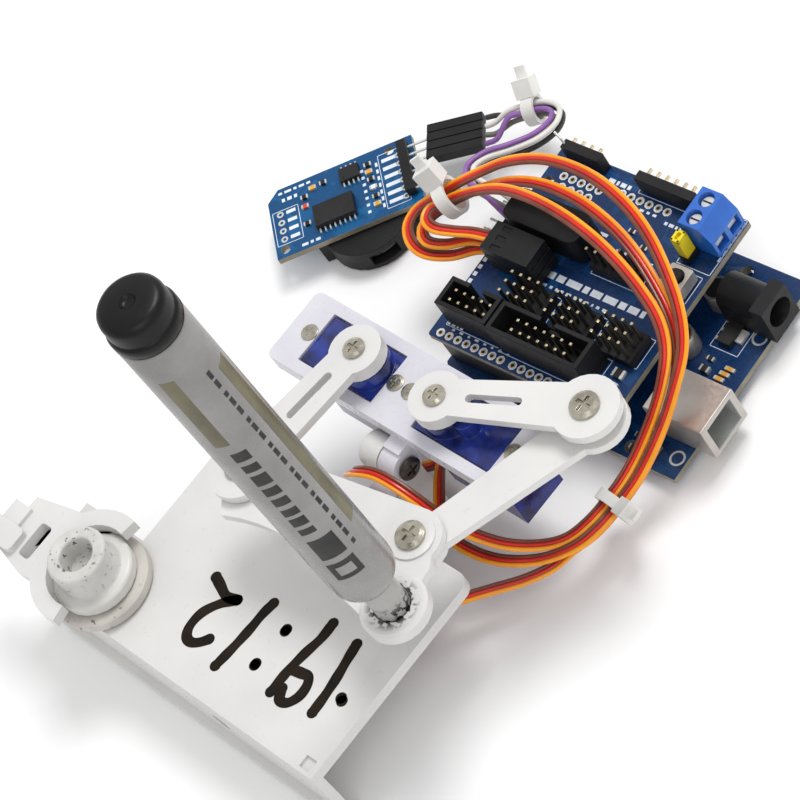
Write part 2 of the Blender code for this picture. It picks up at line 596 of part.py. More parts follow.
def linkage_screws(finish, left_arm, right_arm, left_fore):
    piece("left_horn_screw", screw(LEFT_SHAFT, 2.6, ARM_TOP + 0.1, 1.1, 0.9, ARM_Z - 1.0, 16), finish, left_arm)
    piece("right_horn_screw", screw(RIGHT_SHAFT, 2.6, ARM_TOP + 0.1, 1.1, 0.9, ARM_Z - 1.0, 16), finish, right_arm)
    piece("left_elbow_screw", screw(LEFT_ELBOW, 3.4, ARM_TOP + 0.1, 1.2, 1.5, LEFT_FOREARM_Z - 0.4, 18),
          finish, left_arm)
    piece("right_elbow_screw", screw(RIGHT_ELBOW, 3.4, ARM_TOP + 0.1, 1.2, 1.5, RIGHT_FOREARM_Z - 0.4, 18),
          finish, right_arm)
    boss_top = LEFT_FOREARM_Z + LINK_THICK + 0.5
    piece("wrist_screw", screw(WRIST, 3.4, boss_top + 0.1, 1.2, 1.5, RIGHT_FOREARM_Z + 0.1, 18), finish, left_fore)


def marker(barrel_finish, cap_finish, parent):
    """Whiteboard marker standing point down, its neck in the forearm's ring."""
    tip, end = MARKER_TIP_Z, MARKER_END_Z
    cap_low = end - 8.0
    neck = MARKER_NECK_RADIUS
    barrel = lathe([(0, tip), (1.0, tip), (1.9, tip + 1.2), (2.1, tip + 3.2), (2.9, tip + 3.8), (neck - 0.2, tip + 7),
                    (neck, tip + 9), (neck, tip + 22.6), (5.6, tip + 23.4), (6.7, tip + 24.8),
                    (MARKER_RADIUS, tip + 27.5), (MARKER_RADIUS, cap_low - GAP), (0, cap_low - GAP)], PEN, 28)
    piece("marker_barrel", barrel, barrel_finish, parent)
    cap = lathe([(0, cap_low), (MARKER_RADIUS + 0.1, cap_low), (MARKER_RADIUS + 0.1, cap_low + 2.4),
                 (MARKER_RADIUS - 0.4, cap_low + 2.9), (MARKER_RADIUS - 0.4, end - 1.6),
                 (MARKER_RADIUS - 0.9, end - 0.4), (MARKER_RADIUS - 1.8, end), (1.6, end),
                 (1.0, end - 0.7), (0, end - 0.8)], PEN, 28)
    piece("marker_cap", cap, cap_finish, parent)


# Electronics, modelled in each board's own frame ---------------------------------------------
def controller_board(finish, parent):
    half_x, half_y = CONTROLLER_LENGTH / 2, CONTROLLER_WIDTH / 2
    low, high = CONTROLLER_Z, CONTROLLER_Z + PCB_THICK
    outline = [(-half_x + 2.5, -half_y), (half_x, -half_y), (half_x, half_y), (-half_x + 2.5, half_y),
               (-half_x, half_y - 2.5), (-half_x, -half_y + 2.5)]
    plate = prism(outline, low, high)
    rows = [box(-21, side * 24.1 - 0.8, 0, 22, side * 24.1 + 0.8, low + 0.5) for side in (-1, 1)]
    holes = [cylinder(place, 1.6, low - 1, high + 1, 16)
             for place in ((-31.8, 10.5), (-31.8, -16.5), (20.2, -24.0), (18.9, 23.4))]
    return piece("controller_board", cut(joined(plate, rows), holes), finish, parent, True)


def usb_socket(finish, parent):
    low = CONTROLLER_Z + PCB_THICK + GAP
    x0, x1, y = 24.2, 40.5, -12.5
    shell = box(x0, y - 6, low, x1, y + 6, low + 10.8)
    mouth = box(x1 - 9, y - 4.2, low + 1.4, x1 + 1, y + 4.2, low + 9.2)
    tongue = box(x1 - 10, y - 2.8, low + 3.8, x1 - 4.8, y + 2.8, low + 7.0)
    return piece("usb_socket", joined(cut(shell, [mouth]), [tongue]), finish, parent, True)


def power_jack(finish, parent):
    low = CONTROLLER_Z + PCB_THICK + GAP
    x0, x1, y = 22.2, 36.2, 15.5
    body = joined(box(x0, y - 4.4, low, x1, y + 4.4, low + 6.5),
                  [moved(turned(cylinder((0, 0), 4.4, 0, x1 - x0 - 3.4, 22), 90, "Y"), (x0, y, low + 6.4)),
                   box(x1 - 3.6, y - 4.5, low, x1, y + 4.5, low + 10.9)])
    bore = moved(turned(cylinder((0, 0), 3.5, 4, 20, 20), 90, "Y"), (x0, y, low + 6.0))
    pin = moved(turned(cylinder((0, 0), 1.0, 3.5, 8.6, 10), 90, "Y"), (x0, y, low + 6.0))
    return piece("power_jack", joined(cut(body, [bore]), [pin]), finish, parent, True)


def stack_header(finish, parent):
    """Long black header between the two boards, under the shield's front edge."""
    low = CONTROLLER_Z + PCB_THICK + GAP
    solid = box(-27, -25.6, low, 18, -23.1, SHIELD_Z - GAP)
    return piece("stack_header", solid, finish, parent, True)


def shield_board(finish, parent):
    half_x, half_y = SHIELD_LENGTH / 2, SHIELD_WIDTH / 2
    plate = prism(rounded_rectangle(-half_x, -half_y, half_x, half_y, 0.6, 2), SHIELD_Z, SHIELD_Z + PCB_THICK)
    holes = [cylinder(place, 1.5, SHIELD_Z - 1, SHIELD_Z + 3, 16) for place in ((-24.6, 17.5), (24.2, -23.6))]
    return piece("shield_board", cut(plate, holes), finish, parent, True)


def box_header(name, x0, y0, x1, y1, finish, parent):
    """Shrouded header, open at the top, with a key slot in its front wall."""
    height, wall = 8.6, 1.1
    solid = box(x0, y0, SHIELD_TOP, x1, y1, SHIELD_TOP + height)
    cavity = box(x0 + wall, y0 + wall, SHIELD_TOP + 2.4, x1 - wall, y1 - wall, SHIELD_TOP + height + 1)
    middle = (x0 + x1) / 2
    key = box(middle - 2, y1 - wall - 1, SHIELD_TOP + 3.4, middle + 2, y1 + 1, SHIELD_TOP + height + 1)
    return piece(name, cut(solid, [cavity, key]), finish, parent, True)


def pin_block(name, x, y, columns, rows, finish, parent):
    """Black strip base with square pins on a 2.54 mm grid, their first pin at x, y."""
    half = PIN_PITCH / 2
    base = box(x - half, y - half, SHIELD_TOP, x + PIN_PITCH * (columns - 0.5), y + PIN_PITCH * (rows - 0.5),
               SHIELD_TOP + 2.5)
    pins = []
    for column in range(columns):
        for row in range(rows):
            px, py = x + PIN_PITCH * column, y + PIN_PITCH * row
            pins.append(box(px - 0.32, py - 0.32, SHIELD_TOP + 1, px + 0.32, py + 0.32, SHIELD_TOP + 8.4))
    return piece(name, joined(base, pins), finish, parent, True)


def servo_plugs(finish, parent):
    """Three three-way plugs stacked on the signal header, wires entering from -X."""
    for index in range(3):
        low = SHIELD_TOP + 0.9 + 3.0 * index
        body = box(-21.9, -6.9, low, -8.0, 0.7, low + 2.6)
        notches = [box(-19.5, -6.9 + PIN_PITCH * i + 0.7, low + 2.2, -17.0, -6.9 + PIN_PITCH * i + 1.9, low + 3)
                   for i in range(3)]
        piece(f"servo_plug_{index + 1}", cut(body, notches), finish, parent, True)


def jumper_plug_bank(finish, parent):
    """Black bank that takes the four jumper wires at its -X end."""
    solid = prism(rounded_rectangle(-23.6, 2.4, -1.6, 10.8, 2.4, 4), SHIELD_TOP, SHIELD_TOP + 8.5)
    return piece("jumper_plug_bank", solid, finish, parent, True)


def rear_header(finish, parent):
    """Row of right-angle pins along the shield's rear edge."""
    solid = box(-1.6, 23.8, SHIELD_TOP, 14.6, 26.3, SHIELD_TOP + 5.0)
    return piece("rear_header", solid, finish, parent, True)


def terminal_block(finish, parent):
    """Two-way screw terminal with wire mouths towards +X."""
    x0, y0, x1, y1 = 17.8, 16.3, 25.8, 26.3
    top = SHIELD_TOP + 9.8
    outline = [(x0, SHIELD_TOP), (x1 + 0.6, SHIELD_TOP), (x1 + 0.6, top - 4.4), (x1 - 1.6, top), (x0 + 0.8, top)]
    profile = transformed(prism([(x, z) for x, z in outline], 0, y1 - y0), Matrix.Rotation(math.radians(90), 4, "X"))
    moved(profile, (0, y1, 0))
    tools = []
    for y in (y0 + 2.6, y1 - 2.6):
        tools.append(cylinder((x0 + 3.6, y), 1.9, top - 2.4, top + 1, 20))
        tools.append(box(x1 - 3, y - 1.7, SHIELD_TOP + 0.8, x1 + 2, y + 1.7, SHIELD_TOP + 4.6))
    return piece("terminal_block", cut(profile, tools), finish, parent, True)


def reset_switch(base_finish, button_finish, parent, button_parent):
    x, y = 22.0, 7.0
    base = prism(rounded_rectangle(x - 3, y - 3, x + 3, y + 3, 0.5, 2), SHIELD_TOP, SHIELD_TOP + 3.4)
    well = cylinder((x, y), 2.1, SHIELD_TOP + 1.6, SHIELD_TOP + 5, 24)
    piece("reset_base", cut(base, [well]), base_finish, parent, True)
    button = lathe([(0, SHIELD_TOP + 2.5), (1.7, SHIELD_TOP + 2.5), (1.7, SHIELD_TOP + 4.4),
                    (1.5, SHIELD_TOP + 4.7), (0, SHIELD_TOP + 4.7)], (0, 0), 20)
    moved(button, (0, 0, -button_parent["place"][2]))
    piece("reset_button", button, button_finish, button_parent, True)


def clock_module(board_finish, black_finish, parent):
    half_x, half_y = CLOCK_LENGTH / 2, CLOCK_WIDTH / 2
    outline = [(-half_x, -half_y), (half_x, -half_y), (half_x, half_y), (-half_x + 3, half_y), (-half_x, half_y - 3)]
    holes = [cylinder(place, 1.2, CLOCK_Z - 1, CLOCK_Z + 3, 14) for place in ((-16.6, -8.0), (13.0, 8.2))]
    plate = cut(prism(outline, CLOCK_Z, CLOCK_Z + PCB_THICK), holes)
    piece("clock_board", plate, board_finish, parent, True)
    holder = joined(cylinder((3.5, -5.5), 11.6, 0, CLOCK_Z - GAP, 30), [box(-9.5, -9.5, 0, 16.5, -1.5, CLOCK_Z - GAP)])
    notch = cylinder((3.5, -5.5), 9.9, 1.4, 4.8, 24)
    mouth = box(2, -20, 1.4, 9, -5, 4.8)
    piece("clock_cell_holder", cut(holder, [joined(notch, [mouth])]), black_finish, parent, True)


def clock_header(finish, parent):
    """Right-angle pin strip on the clock board's end."""
    low = CLOCK_Z + PCB_THICK + GAP
    base = box(15.6, -7.8, low, 18.0, 7.6, low + 2.5)
    return piece("clock_header", base, finish, parent, True)


def jumper_housings(finish, parent):
    """Four single-wire housings side by side."""
    low = 7.9
    solid = box(-7, -5.0, low, 7, 5.0, low + 2.6)
    grooves = [box(-8, -2.54 + 2.54 * i - 0.12, low + 2.2, 8, -2.54 + 2.54 * i + 0.12, low + 3) for i in range(3)]
    return piece("jumper_housings", cut(solid, grooves), finish, parent, True)


def cable_tie(name, place, inner, width, head, finish):
    """Nylon band around a bundle, with its square head on one side."""
    centre, along, outward = (Vector(value) for value in place)
    band = tube_ring(inner, inner + 1.1, -width / 2, width / 2, 24)
    lock = box(inner + 0.5, -head / 2, -head / 2, inner + 0.5 + head, head / 2, head / 2)
    tail = box(inner + 0.1 + head, -0.5, -width / 2.4, inner + head + 3.4, 0.5, width / 2.4)
    solid = joined(band, [lock, tail])
    along.normalize()
    outward = (outward - along * outward.dot(along)).normalized()
    turn = Matrix((outward, along.cross(outward), along)).transposed()
    transformed(solid, Matrix.Translation(centre) @ turn.to_4x4())
    return piece(name, solid, finish)


# Assembly -----------------------------------------------------------------------------------
def build_base(paint):
    board_base(paint["white"])
    skirt_screw(paint["brass"])
    rear_stand(paint["white"])
    hinge_screw(paint["dark_steel"])
    eraser_clip(paint["white"])
    lift_servo(paint["servo_blue"])
    eraser(paint["felt"], paint["white"], axis_empty("eraser_axis", (ERASER.x, ERASER.y, BOARD_TOP)))
    lift_horn(paint["white"], axis_empty("lift_horn_axis", (LIFT_SHAFT_X, 4.2, LIFT_SHAFT_Z)))


def build_arm(paint):
    frame = axis_empty("lift_axis", (0, HINGE_Y, HINGE_Z))
    frame_plate(paint["frame_white"], frame)
    drawing_servos(paint["servo_blue"], paint["nickel"], frame)
    left = axis_empty("left_arm_axis", (LEFT_SHAFT.x, LEFT_SHAFT.y, ARM_Z), frame)
    right = axis_empty("right_arm_axis", (RIGHT_SHAFT.x, RIGHT_SHAFT.y, ARM_Z), frame)
    servo_arm("left_arm", LEFT_SHAFT, LEFT_ELBOW, paint["white"], left)
    servo_arm("right_arm", RIGHT_SHAFT, RIGHT_ELBOW, paint["white"], right)
    left_fore = axis_empty("left_elbow_axis", (LEFT_ELBOW.x, LEFT_ELBOW.y, LEFT_FOREARM_Z), left)
    right_fore = axis_empty("right_elbow_axis", (RIGHT_ELBOW.x, RIGHT_ELBOW.y, RIGHT_FOREARM_Z), right)
    left_forearm(paint["white"], left_fore)
    right_forearm(paint["white"], right_fore)
    linkage_screws(paint["nickel"], left, right, left_fore)
    marker(paint["barrel"], paint["black"], axis_empty("marker_axis", (PEN.x, PEN.y, MARKER_TIP_Z), left_fore))


def build_electronics(paint):
    controller = axis_empty("controller_frame", CONTROLLER, None, BOARD_TILT)
    controller_board(paint["pcb"], controller)
    usb_socket(paint["nickel"], controller)
    power_jack(paint["black"], controller)
    shield = axis_empty("shield_frame", SHIELD, None, BOARD_TILT)
    stack_header(paint["black"], shield)
    shield_board(paint["pcb"], shield)
    box_header("box_header_small", -23.8, -22.6, -8.9, -15.1, paint["black"], shield)
    box_header("box_header_large", -8.3, -23.2, 18.1, -15.4, paint["black"], shield)
    for index, x in enumerate((-11.2, 2.2, 15.6), 1):
        pin_block(f"pin_block_{index}", x, -13.6, 4, 3, paint["black"], shield)
    pin_block("pin_block_4", 1.7, 3.2, 5, 2, paint["black"], shield)
    servo_plugs(paint["black"], shield)
    jumper_plug_bank(paint["black"], shield)
    rear_header(paint["black"], shield)
    terminal_block(paint["terminal_blue"], shield)
    button = axis_empty("reset_axis", shield_point(22.0, 7.0, SHIELD_TOP + 2.5))
    reset_switch(paint["nickel"], paint["black"], shield, button)
    clock = axis_empty("clock_frame", CLOCK, None, CLOCK_ANGLE)
    clock_module(paint["pcb"], paint["black"], clock)
    clock_header(paint["black"], clock)
    jumper_housings(paint["black"], axis_empty("housings_frame", (-52.2, 89.8, 0), None, 41))


def shield_point(x, y, z):
    """World place of a point given in the shield's own frame."""
    turn = Matrix.Rotation(math.radians(BOARD_TILT), 3, "Z")
    return SHIELD + turn @ Vector((x, y, 0)) + Vector((0, 0, z))


def build_wiring(paint):
    for name, angle in LEAD_PLACES.items():
        middle = beside(LEAD_BUNDLE, angle, LEAD_SPACING)
        cord(name, [*LEAD_STARTS[name], *middle, *LEAD_ENDS[name]], LEAD_RADIUS, LEAD_STEP, paint["lead_red"])
    for name, angle in JUMPER_PLACES.items():
        middle = beside(JUMPER_BUNDLE, angle, JUMPER_SPACING)
        cord(name, [*JUMPER_STARTS[name], *middle, *JUMPER_ENDS[name]], JUMPER_RADIUS, JUMPER_STEP, paint[name])
    cable_tie("servo_tie", SERVO_TIE, 3.8, 3.2, 5.0, paint["nylon"])
    cable_tie("bundle_tie", BUNDLE_TIE, 3.3, 2.6, 4.0, paint["nylon"])
    cable_tie("jumper_tie", JUMPER_TIE, 2.7, 3.0, 4.6, paint["nylon"])


def finishes():
    table = {
        "white": ((0.86, 0.86, 0.84), 0.32, 0.0),
        "frame_white": ((0.80, 0.79, 0.86), 0.30, 0.0),
        "servo_blue": ((0.03, 0.05, 0.42), 0.22, 0.0),
        "nickel": ((0.62, 0.60, 0.52), 0.30, 0.9),
        "dark_steel": ((0.10, 0.09, 0.08), 0.40, 0.8),
        "brass": ((0.55, 0.45, 0.22), 0.35, 0.9),
        "felt": ((0.60, 0.55, 0.49), 0.95, 0.0),
        "black": ((0.02, 0.02, 0.02), 0.45, 0.0),
        "barrel": ((0.62, 0.61, 0.58), 0.30, 0.0),
        "pcb": ((0.01, 0.09, 0.27), 0.35, 0.0),
        "terminal_blue": ((0.03, 0.22, 0.75), 0.40, 0.0),
        "lead_red": ((0.75, 0.06, 0.02), 0.40, 0.0),
        "jumper_black": ((0.03, 0.03, 0.03), 0.45, 0.0),
        "jumper_white": ((0.80, 0.80, 0.78), 0.45, 0.0),
        "jumper_grey": ((0.30, 0.30, 0.30), 0.45, 0.0),
        "jumper_purple": ((0.38, 0.20, 0.55), 0.45, 0.0),
        "nylon": ((0.85, 0.85, 0.82), 0.45, 0.0),
    }
    return {name: material(name, *values) for name, values in table.items()}


def build():
    clear_scene()
    paint = finishes()
    build_base(paint)
    build_arm(paint)
    build_electronics(paint)
    build_wiring(paint)


build()
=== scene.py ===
"""Looks of the desktop SCARA arm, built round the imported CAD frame.

Local sizes are in millimetres, in the CAD's own axes; a piece is scaled to metres when its object
is made. Each circuit board's details are given in that board's own frame.
"""
import json
import math

import bmesh
import bpy
from mathutils import Matrix, Vector


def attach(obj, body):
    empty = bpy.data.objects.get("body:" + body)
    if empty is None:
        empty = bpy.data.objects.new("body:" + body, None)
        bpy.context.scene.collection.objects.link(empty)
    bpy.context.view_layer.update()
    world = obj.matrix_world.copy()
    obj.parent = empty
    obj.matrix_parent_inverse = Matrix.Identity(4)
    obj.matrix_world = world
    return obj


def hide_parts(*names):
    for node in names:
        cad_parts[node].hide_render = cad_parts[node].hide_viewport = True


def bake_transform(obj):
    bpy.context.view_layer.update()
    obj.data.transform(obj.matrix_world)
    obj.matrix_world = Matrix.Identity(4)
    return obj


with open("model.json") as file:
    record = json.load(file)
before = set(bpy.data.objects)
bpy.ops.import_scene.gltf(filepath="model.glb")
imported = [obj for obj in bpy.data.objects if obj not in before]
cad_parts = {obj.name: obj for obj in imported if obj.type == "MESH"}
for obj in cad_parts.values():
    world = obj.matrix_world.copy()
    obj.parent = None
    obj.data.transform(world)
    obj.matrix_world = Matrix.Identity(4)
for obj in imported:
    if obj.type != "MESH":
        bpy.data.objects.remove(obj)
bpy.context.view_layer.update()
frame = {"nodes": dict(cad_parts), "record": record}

MM = 0.001
BOARD_TOP = 21.0
PEN = Vector((44.2, -16.4, 0.0))
ERASER = Vector((-38.0, -43.8, 0.0))
CONTROLLER = Matrix.Translation((15.6, 70.2, 0.0)) @ Matrix.Rotation(math.radians(4.0), 4, "Z")
SHIELD = Matrix.Translation((9.1, 72.4, 0.0)) @ Matrix.Rotation(math.radians(4.0), 4, "Z")
CLOCK = Matrix.Translation((-68.0, 64.4, 0.0)) @ Matrix.Rotation(math.radians(52.4), 4, "Z")
CONTROLLER_TOP, SHIELD_TOP, CLOCK_TOP = 3.6, 16.3, 8.4
PITCH = 2.54
SKIN = 0.04                    # thickness of print, ink and solder pads
LABEL_DEPTH = 0.05             # how far a sleeve label stands out, and how far it sinks in
PRINT_LINE = 0.16
PRINT_RING, SOLDER_RING, HOLE_RADIUS = (0.78, 1.12), (0.45, 0.72), 0.44
MARKER_TIP, MARKER_END = 33.0, 160.4
NECK_RADIUS, MARKER_RADIUS = 3.9, 7.3
CAP_RADIUS, CAP_RIM_RADIUS, CAP_LENGTH = 6.9, 7.4, 8.0
GLOSS_SPREAD = 0.06
ROUTE_STEP, INK_STEP = 1.0, 0.4
FACES_UP = 0.7                 # least upward part of the normal of a face that counts as a top
SMOOTH_LIMIT = math.radians(35)
FLAT_LIMIT = math.radians(1.2)
MERGE_DISTANCE = 0.000004
FLOOR_SIZE, FLOOR_HEIGHT = 6.0, -0.0006

CAMERA_PLACE = (453.2, -107.8, 590.1)
CAMERA_RIGHT = (0.6760, 0.6189, -0.4001)
CAMERA_DOWN = (0.4014, -0.7645, -0.5043)
CAMERA_LENS = 153.2

# Routes of the wiring, the same as in the CAD: points in millimetres -------------------------
LEAD_BUNDLE = [
    (45.6, 20.5, 10.2, 1.0), (47.0, 26.5, 9.4, 1.0), (47.4, 33.4, 9.4, 1.0), (48.4, 41.5, 11.8, 1.05),
    (49.4, 50.5, 17.4, 1.1), (49.4, 58.0, 23.0, 1.1), (47.6, 64.4, 27.2, 1.3), (43.0, 69.4, 30.0, 1.6),
    (36.0, 73.6, 32.2, 2.2), (27.5, 77.4, 33.8, 2.9), (18.0, 80.2, 34.8, 3.4), (7.0, 81.8, 34.8, 3.6),
    (-4.5, 81.6, 33.8, 3.3), (-14.0, 79.4, 31.8, 2.5), (-21.6, 75.6, 29.0, 1.6), (-27.4, 71.6, 26.4, 1.05),
    (-28.8, 69.6, 25.6, 1.0)]
LEAD_SPACING = 1.72
LEAD_PLACES = {"lead_left_servo": 150, "lead_right_servo": 30, "lead_lift_servo": 270}
LEAD_STARTS = {
    "lead_left_servo": [
        (1.5, 27.4, 17), (6.2, 27.4, 16.9), (8.0, 25.2, 13.6), (4.6, 20.8, 10.8), (-0.6, 16.4, 10.4),
        (-3.4, 11.0, 15.2), (-2.6, 7.2, 21.4), (0.4, 5.4, 27.2), (4.8, 5.6, 31.2), (10.4, 6.8, 32.8),
        (16.5, 7.2, 32.4), (22, 7.4, 30.0), (26.6, 7.8, 26), (31, 9.2, 21.4), (36.5, 12.0, 16.8),
        (41, 16.2, 13.2)],
    "lead_right_servo": [
        (13.5, 22.8, 17), (9.4, 22.6, 16.8), (8.9, 19.8, 14.8), (11.4, 15.4, 13), (15.4, 11.2, 12.4),
        (21, 8.2, 12.6), (28, 7.8, 12.8), (35.5, 9.6, 12.4), (42.4, 14.2, 11.4)],
    "lead_lift_servo": [
        (8.4, -22.2, 9.5), (13.2, -21.6, 9.5), (19.2, -17.6, 9.6), (24.8, -10.4, 9.8), (30, -3.6, 9.8),
        (35.4, 3.0, 9.2), (40.6, 9.4, 8.4), (44, 15, 8.2)],
}
LEAD_ENDS = {
    "lead_left_servo": [
        (-29.8, 66.6, 26.4), (-28.9, 63.8, 26.4), (-25.8, 63.0, 26.0), (-21.6, 64.6, 25.3),
        (-17.4, 66.6, 24.8), (-13.1, 67.7, 24.8)],
    "lead_right_servo": [
        (-32.6, 68.4, 25.2), (-34.9, 65.2, 24.0), (-35.0, 61.4, 22.6), (-32.0, 58.8, 21.2),
        (-27.6, 58.6, 20.2), (-22.4, 61.2, 19.4), (-18.0, 65.6, 18.9), (-13.1, 67.7, 18.8)],
    "lead_lift_servo": [
        (-31.0, 66.4, 22.9), (-31.4, 62.8, 22.4), (-28.2, 60.6, 22.2), (-23.4, 62.2, 22.0),
        (-18.6, 66.0, 21.8), (-13.1, 67.7, 21.8)],
}
JUMPER_BUNDLE = [
    (-42.6, 100.2, 10.2, 1.0), (-38.8, 103.4, 10.8, 1.0), (-35.0, 105.6, 11.4, 1.0),
    (-30.8, 105.4, 12.2, 1.0), (-28.4, 101.8, 13.2, 1.0), (-28.8, 96.4, 14.4, 1.0),
    (-31.4, 91.0, 15.8, 1.0), (-34.6, 86.4, 16.8, 1.0), (-35.2, 82.0, 17.6, 1.0),
    (-31.6, 79.2, 18.8, 1.0), (-26.2, 78.4, 20.0, 1.0)]
JUMPER_SPACING = 1.4
JUMPER_PLACES = {"jumper_black": 225, "jumper_white": 135, "jumper_grey": 315, "jumper_purple": 45}
JUMPER_STARTS = {
    "jumper_black": [(-49.0, 97.6, 9.2), (-46.9, 99.4, 9.1)],
    "jumper_white": [(-47.3, 95.7, 9.2), (-45.3, 97.5, 9.8)],
    "jumper_grey": [(-45.7, 93.8, 9.2), (-43.7, 95.5, 8.9)],
    "jumper_purple": [(-44.0, 91.9, 9.2), (-41.8, 94.2, 9.8)],
}
JUMPER_ENDS = {
    "jumper_black": [(-20.8, 80.4, 19.9), (-15.9, 80.2, 21)],
    "jumper_white": [(-20.6, 79.0, 21.8), (-15.8, 78.5, 21)],
    "jumper_grey": [(-20.4, 77.0, 19.9), (-15.7, 76.7, 21)],
    "jumper_purple": [(-20.0, 75.8, 21.8), (-15.6, 74.9, 21)],
}
WIRE_RADIUS, WIRE_PITCH = 0.50, 0.97
JUMPER_RADIUS = 0.66
# The stretch of each drawing servo's lead that rides on the lifting frame, made as a piece of its own with no
# body
LEAD_TAILS = {
    "lead_left_servo": (38, (6.0, 25.0, 15.0), (-1.5, 14.5, 11.5)),
    "lead_right_servo": (33, (9.2, 21.5, 16.0), (13.0, 13.0, 12.6)),
}

# Ink strokes of the written time, as points on the board, and their width ---------------------
STROKES = [
    [(-15.2, -28.6), (-12.7, -29.6), (-9.6, -30.8), (-6.5, -30.2)],
    [(-6.5, -30.2), (-9.4, -32.7), (-11.9, -36.6), (-12.3, -40.4), (-11.2, -42.8), (-9.3, -43.4),
     (-7.4, -42.4), (-5.8, -40.6)],
    [(1.8, -26.4), (1.3, -29.5), (1.2, -33.8), (0.8, -38.8), (0.1, -44.5)],
    [(9.0, -29.5), (9.0, -29.9)],
    [(8.3, -39.2), (8.3, -39.6)],
    [(17.7, -22.9), (17.7, -27.0), (16.8, -31.8), (16.2, -37.0), (16.1, -42.3)],
    [(17.2, -35.8), (19.4, -35.4), (21.4, -35.2), (22.6, -37.0), (22.7, -39.8), (21.3, -42.3),
     (19.2, -42.6), (17.9, -40.4)],
    [(26.0, -23.8), (26.6, -27.6), (27.4, -32.2), (27.9, -36.7), (28.1, -40.9)],
    [(31.6, -35.0), (32.2, -35.4)],
]
STROKE_WIDTH = 2.5

# Print on the shield, in its own frame ---------------------------------------------------------
# Rows of holes: first centre, count and pitch
SHIELD_HOLES = (
    (-24.2, -25.4, 8, 2.57), (-2.6, -25.4, 8, PITCH), (-5.6, 21.6, 6, 2.62), (-21.8, 20.2, 5, 2.62),
    (-20.6, 17.6, 4, 2.62))
SHIELD_OUTLINES = (
    (-24.4, -23.2, -8.6, -14.6), (-7.9, -23.8, 18.7, -14.9), (-12.9, -14.6, -1.9, -6.7),
    (0.5, -14.6, 11.6, -6.7), (13.9, -14.6, 25.0, -6.7), (0.0, 1.4, 13.6, 7.5),
    (-2.2, 23.2, 15.2, 26.8), (17.2, 11.6, 26.6, 26.8), (18.4, 3.4, 25.6, 10.6))
# Rows of plain bars in place of legends: corner, bar lengths, bar height and gap
SHIELD_LEGENDS = (
    (-12.6, -3.4, (1.2, 3.4, 2.2, 4.0, 1.6, 3.0, 3.6, 2.0, 2.8, 1.2), 1.7, 0.7),
    (-12.0, -5.6, (0.8, 0.5, 1.1, 0.8, 0.5, 0.9, 1.3, 0.6, 0.8, 1.0, 0.5, 0.9, 1.2), 0.7, 0.9),
    (-22.0, -23.9, (0.7, 1.0, 0.6, 1.1, 0.8, 0.6, 1.0, 0.7), 0.5, 1.5),
    (8.6, 18.6, (0.8, 1.3, 0.6, 1.0, 0.8, 1.2), 0.8, 0.5),
    (-10.8, 23.0, (1.8, 0.7, 1.5, 0.9), 1.1, 0.5),
    (-24.0, -22.9, (0.6, 1.0, 0.5, 0.8), 0.6, 0.5),
    (-11.6, 10.6, (1.4, 0.8, 1.8, 1.0, 2.2), 0.8, 0.6),
    (0.4, 8.4, (0.8, 1.4, 0.7, 1.1, 0.9, 1.3, 0.6), 0.7, 0.9),
    (-2.4, 19.4, (0.9, 0.6, 1.2, 0.8, 1.0), 0.6, 0.9),
    (18.6, 1.2, (1.4, 0.8, 1.6, 1.0), 0.9, 0.5))


# Materials ------------------------------------------------------------------------------------
def node_tree(name):
    made = bpy.data.materials.new(name)
    made.use_nodes = True
    tree = made.node_tree
    return made, tree, tree.nodes["Principled BSDF"]


def noise_of(tree, scale, detail=4.0, roughness=0.55):
    place = tree.nodes.new("ShaderNodeTexCoord")
    texture = tree.nodes.new("ShaderNodeTexNoise")
    texture.inputs["Scale"].default_value = scale
    texture.inputs["Detail"].default_value = detail
    texture.inputs["Roughness"].default_value = roughness
    tree.links.new(place.outputs["Object"], texture.inputs["Vector"])
    return texture.outputs["Fac"]


def ramp_of(tree, factor, low, high, first, second):
    """Colour that goes from first to second while the factor goes from low to high."""
    ramp = tree.nodes.new("ShaderNodeValToRGB")
    ramp.color_ramp.elements[0].position = low
    ramp.color_ramp.elements[1].position = high
    ramp.color_ramp.elements[0].color = (*first, 1.0)
    ramp.color_ramp.elements[1].color = (*second, 1.0)
    tree.links.new(factor, ramp.inputs["Fac"])
    return ramp.outputs["Color"]


def range_of(tree, factor, low, high):
    made = tree.nodes.new("ShaderNodeMapRange")
    made.inputs["From Min"].default_value = 0.3
    made.inputs["From Max"].default_value = 0.7
    made.inputs["To Min"].default_value = low
    made.inputs["To Max"].default_value = high
    tree.links.new(factor, made.inputs["Value"])
    return made.outputs["Result"]


def bump_of(tree, shader, height, strength, distance):
    bump = tree.nodes.new("ShaderNodeBump")
    bump.inputs["Strength"].default_value = strength
    bump.inputs["Distance"].default_value = distance
    tree.links.new(height, bump.inputs["Height"])
    tree.links.new(bump.outputs["Normal"], shader.inputs["Normal"])


def surface(name, colour, other, rough, grain, patch, bump, metallic=0.0, coat=0.0, specular=0.5):
    """Colour that drifts in patches towards a second one, with fine grain in gloss and height."""
    made, tree, shader = node_tree(name)
    drift = ramp_of(tree, noise_of(tree, patch), 0.35, 0.68, colour, other)
    tree.links.new(drift, shader.inputs["Base Color"])
    fine = noise_of(tree, grain, 6.0)
    gloss = range_of(tree, fine, rough - GLOSS_SPREAD, rough + GLOSS_SPREAD)
    tree.links.new(gloss, shader.inputs["Roughness"])
    bump_of(tree, shader, fine, bump, 0.0002)
    shader.inputs["Metallic"].default_value = metallic
    shader.inputs["Specular IOR Level"].default_value = specular
    shader.inputs["Coat Weight"].default_value = coat
    shader.inputs["Coat Roughness"].default_value = 0.12
    made.diffuse_color = (*colour, 1.0)
    return made


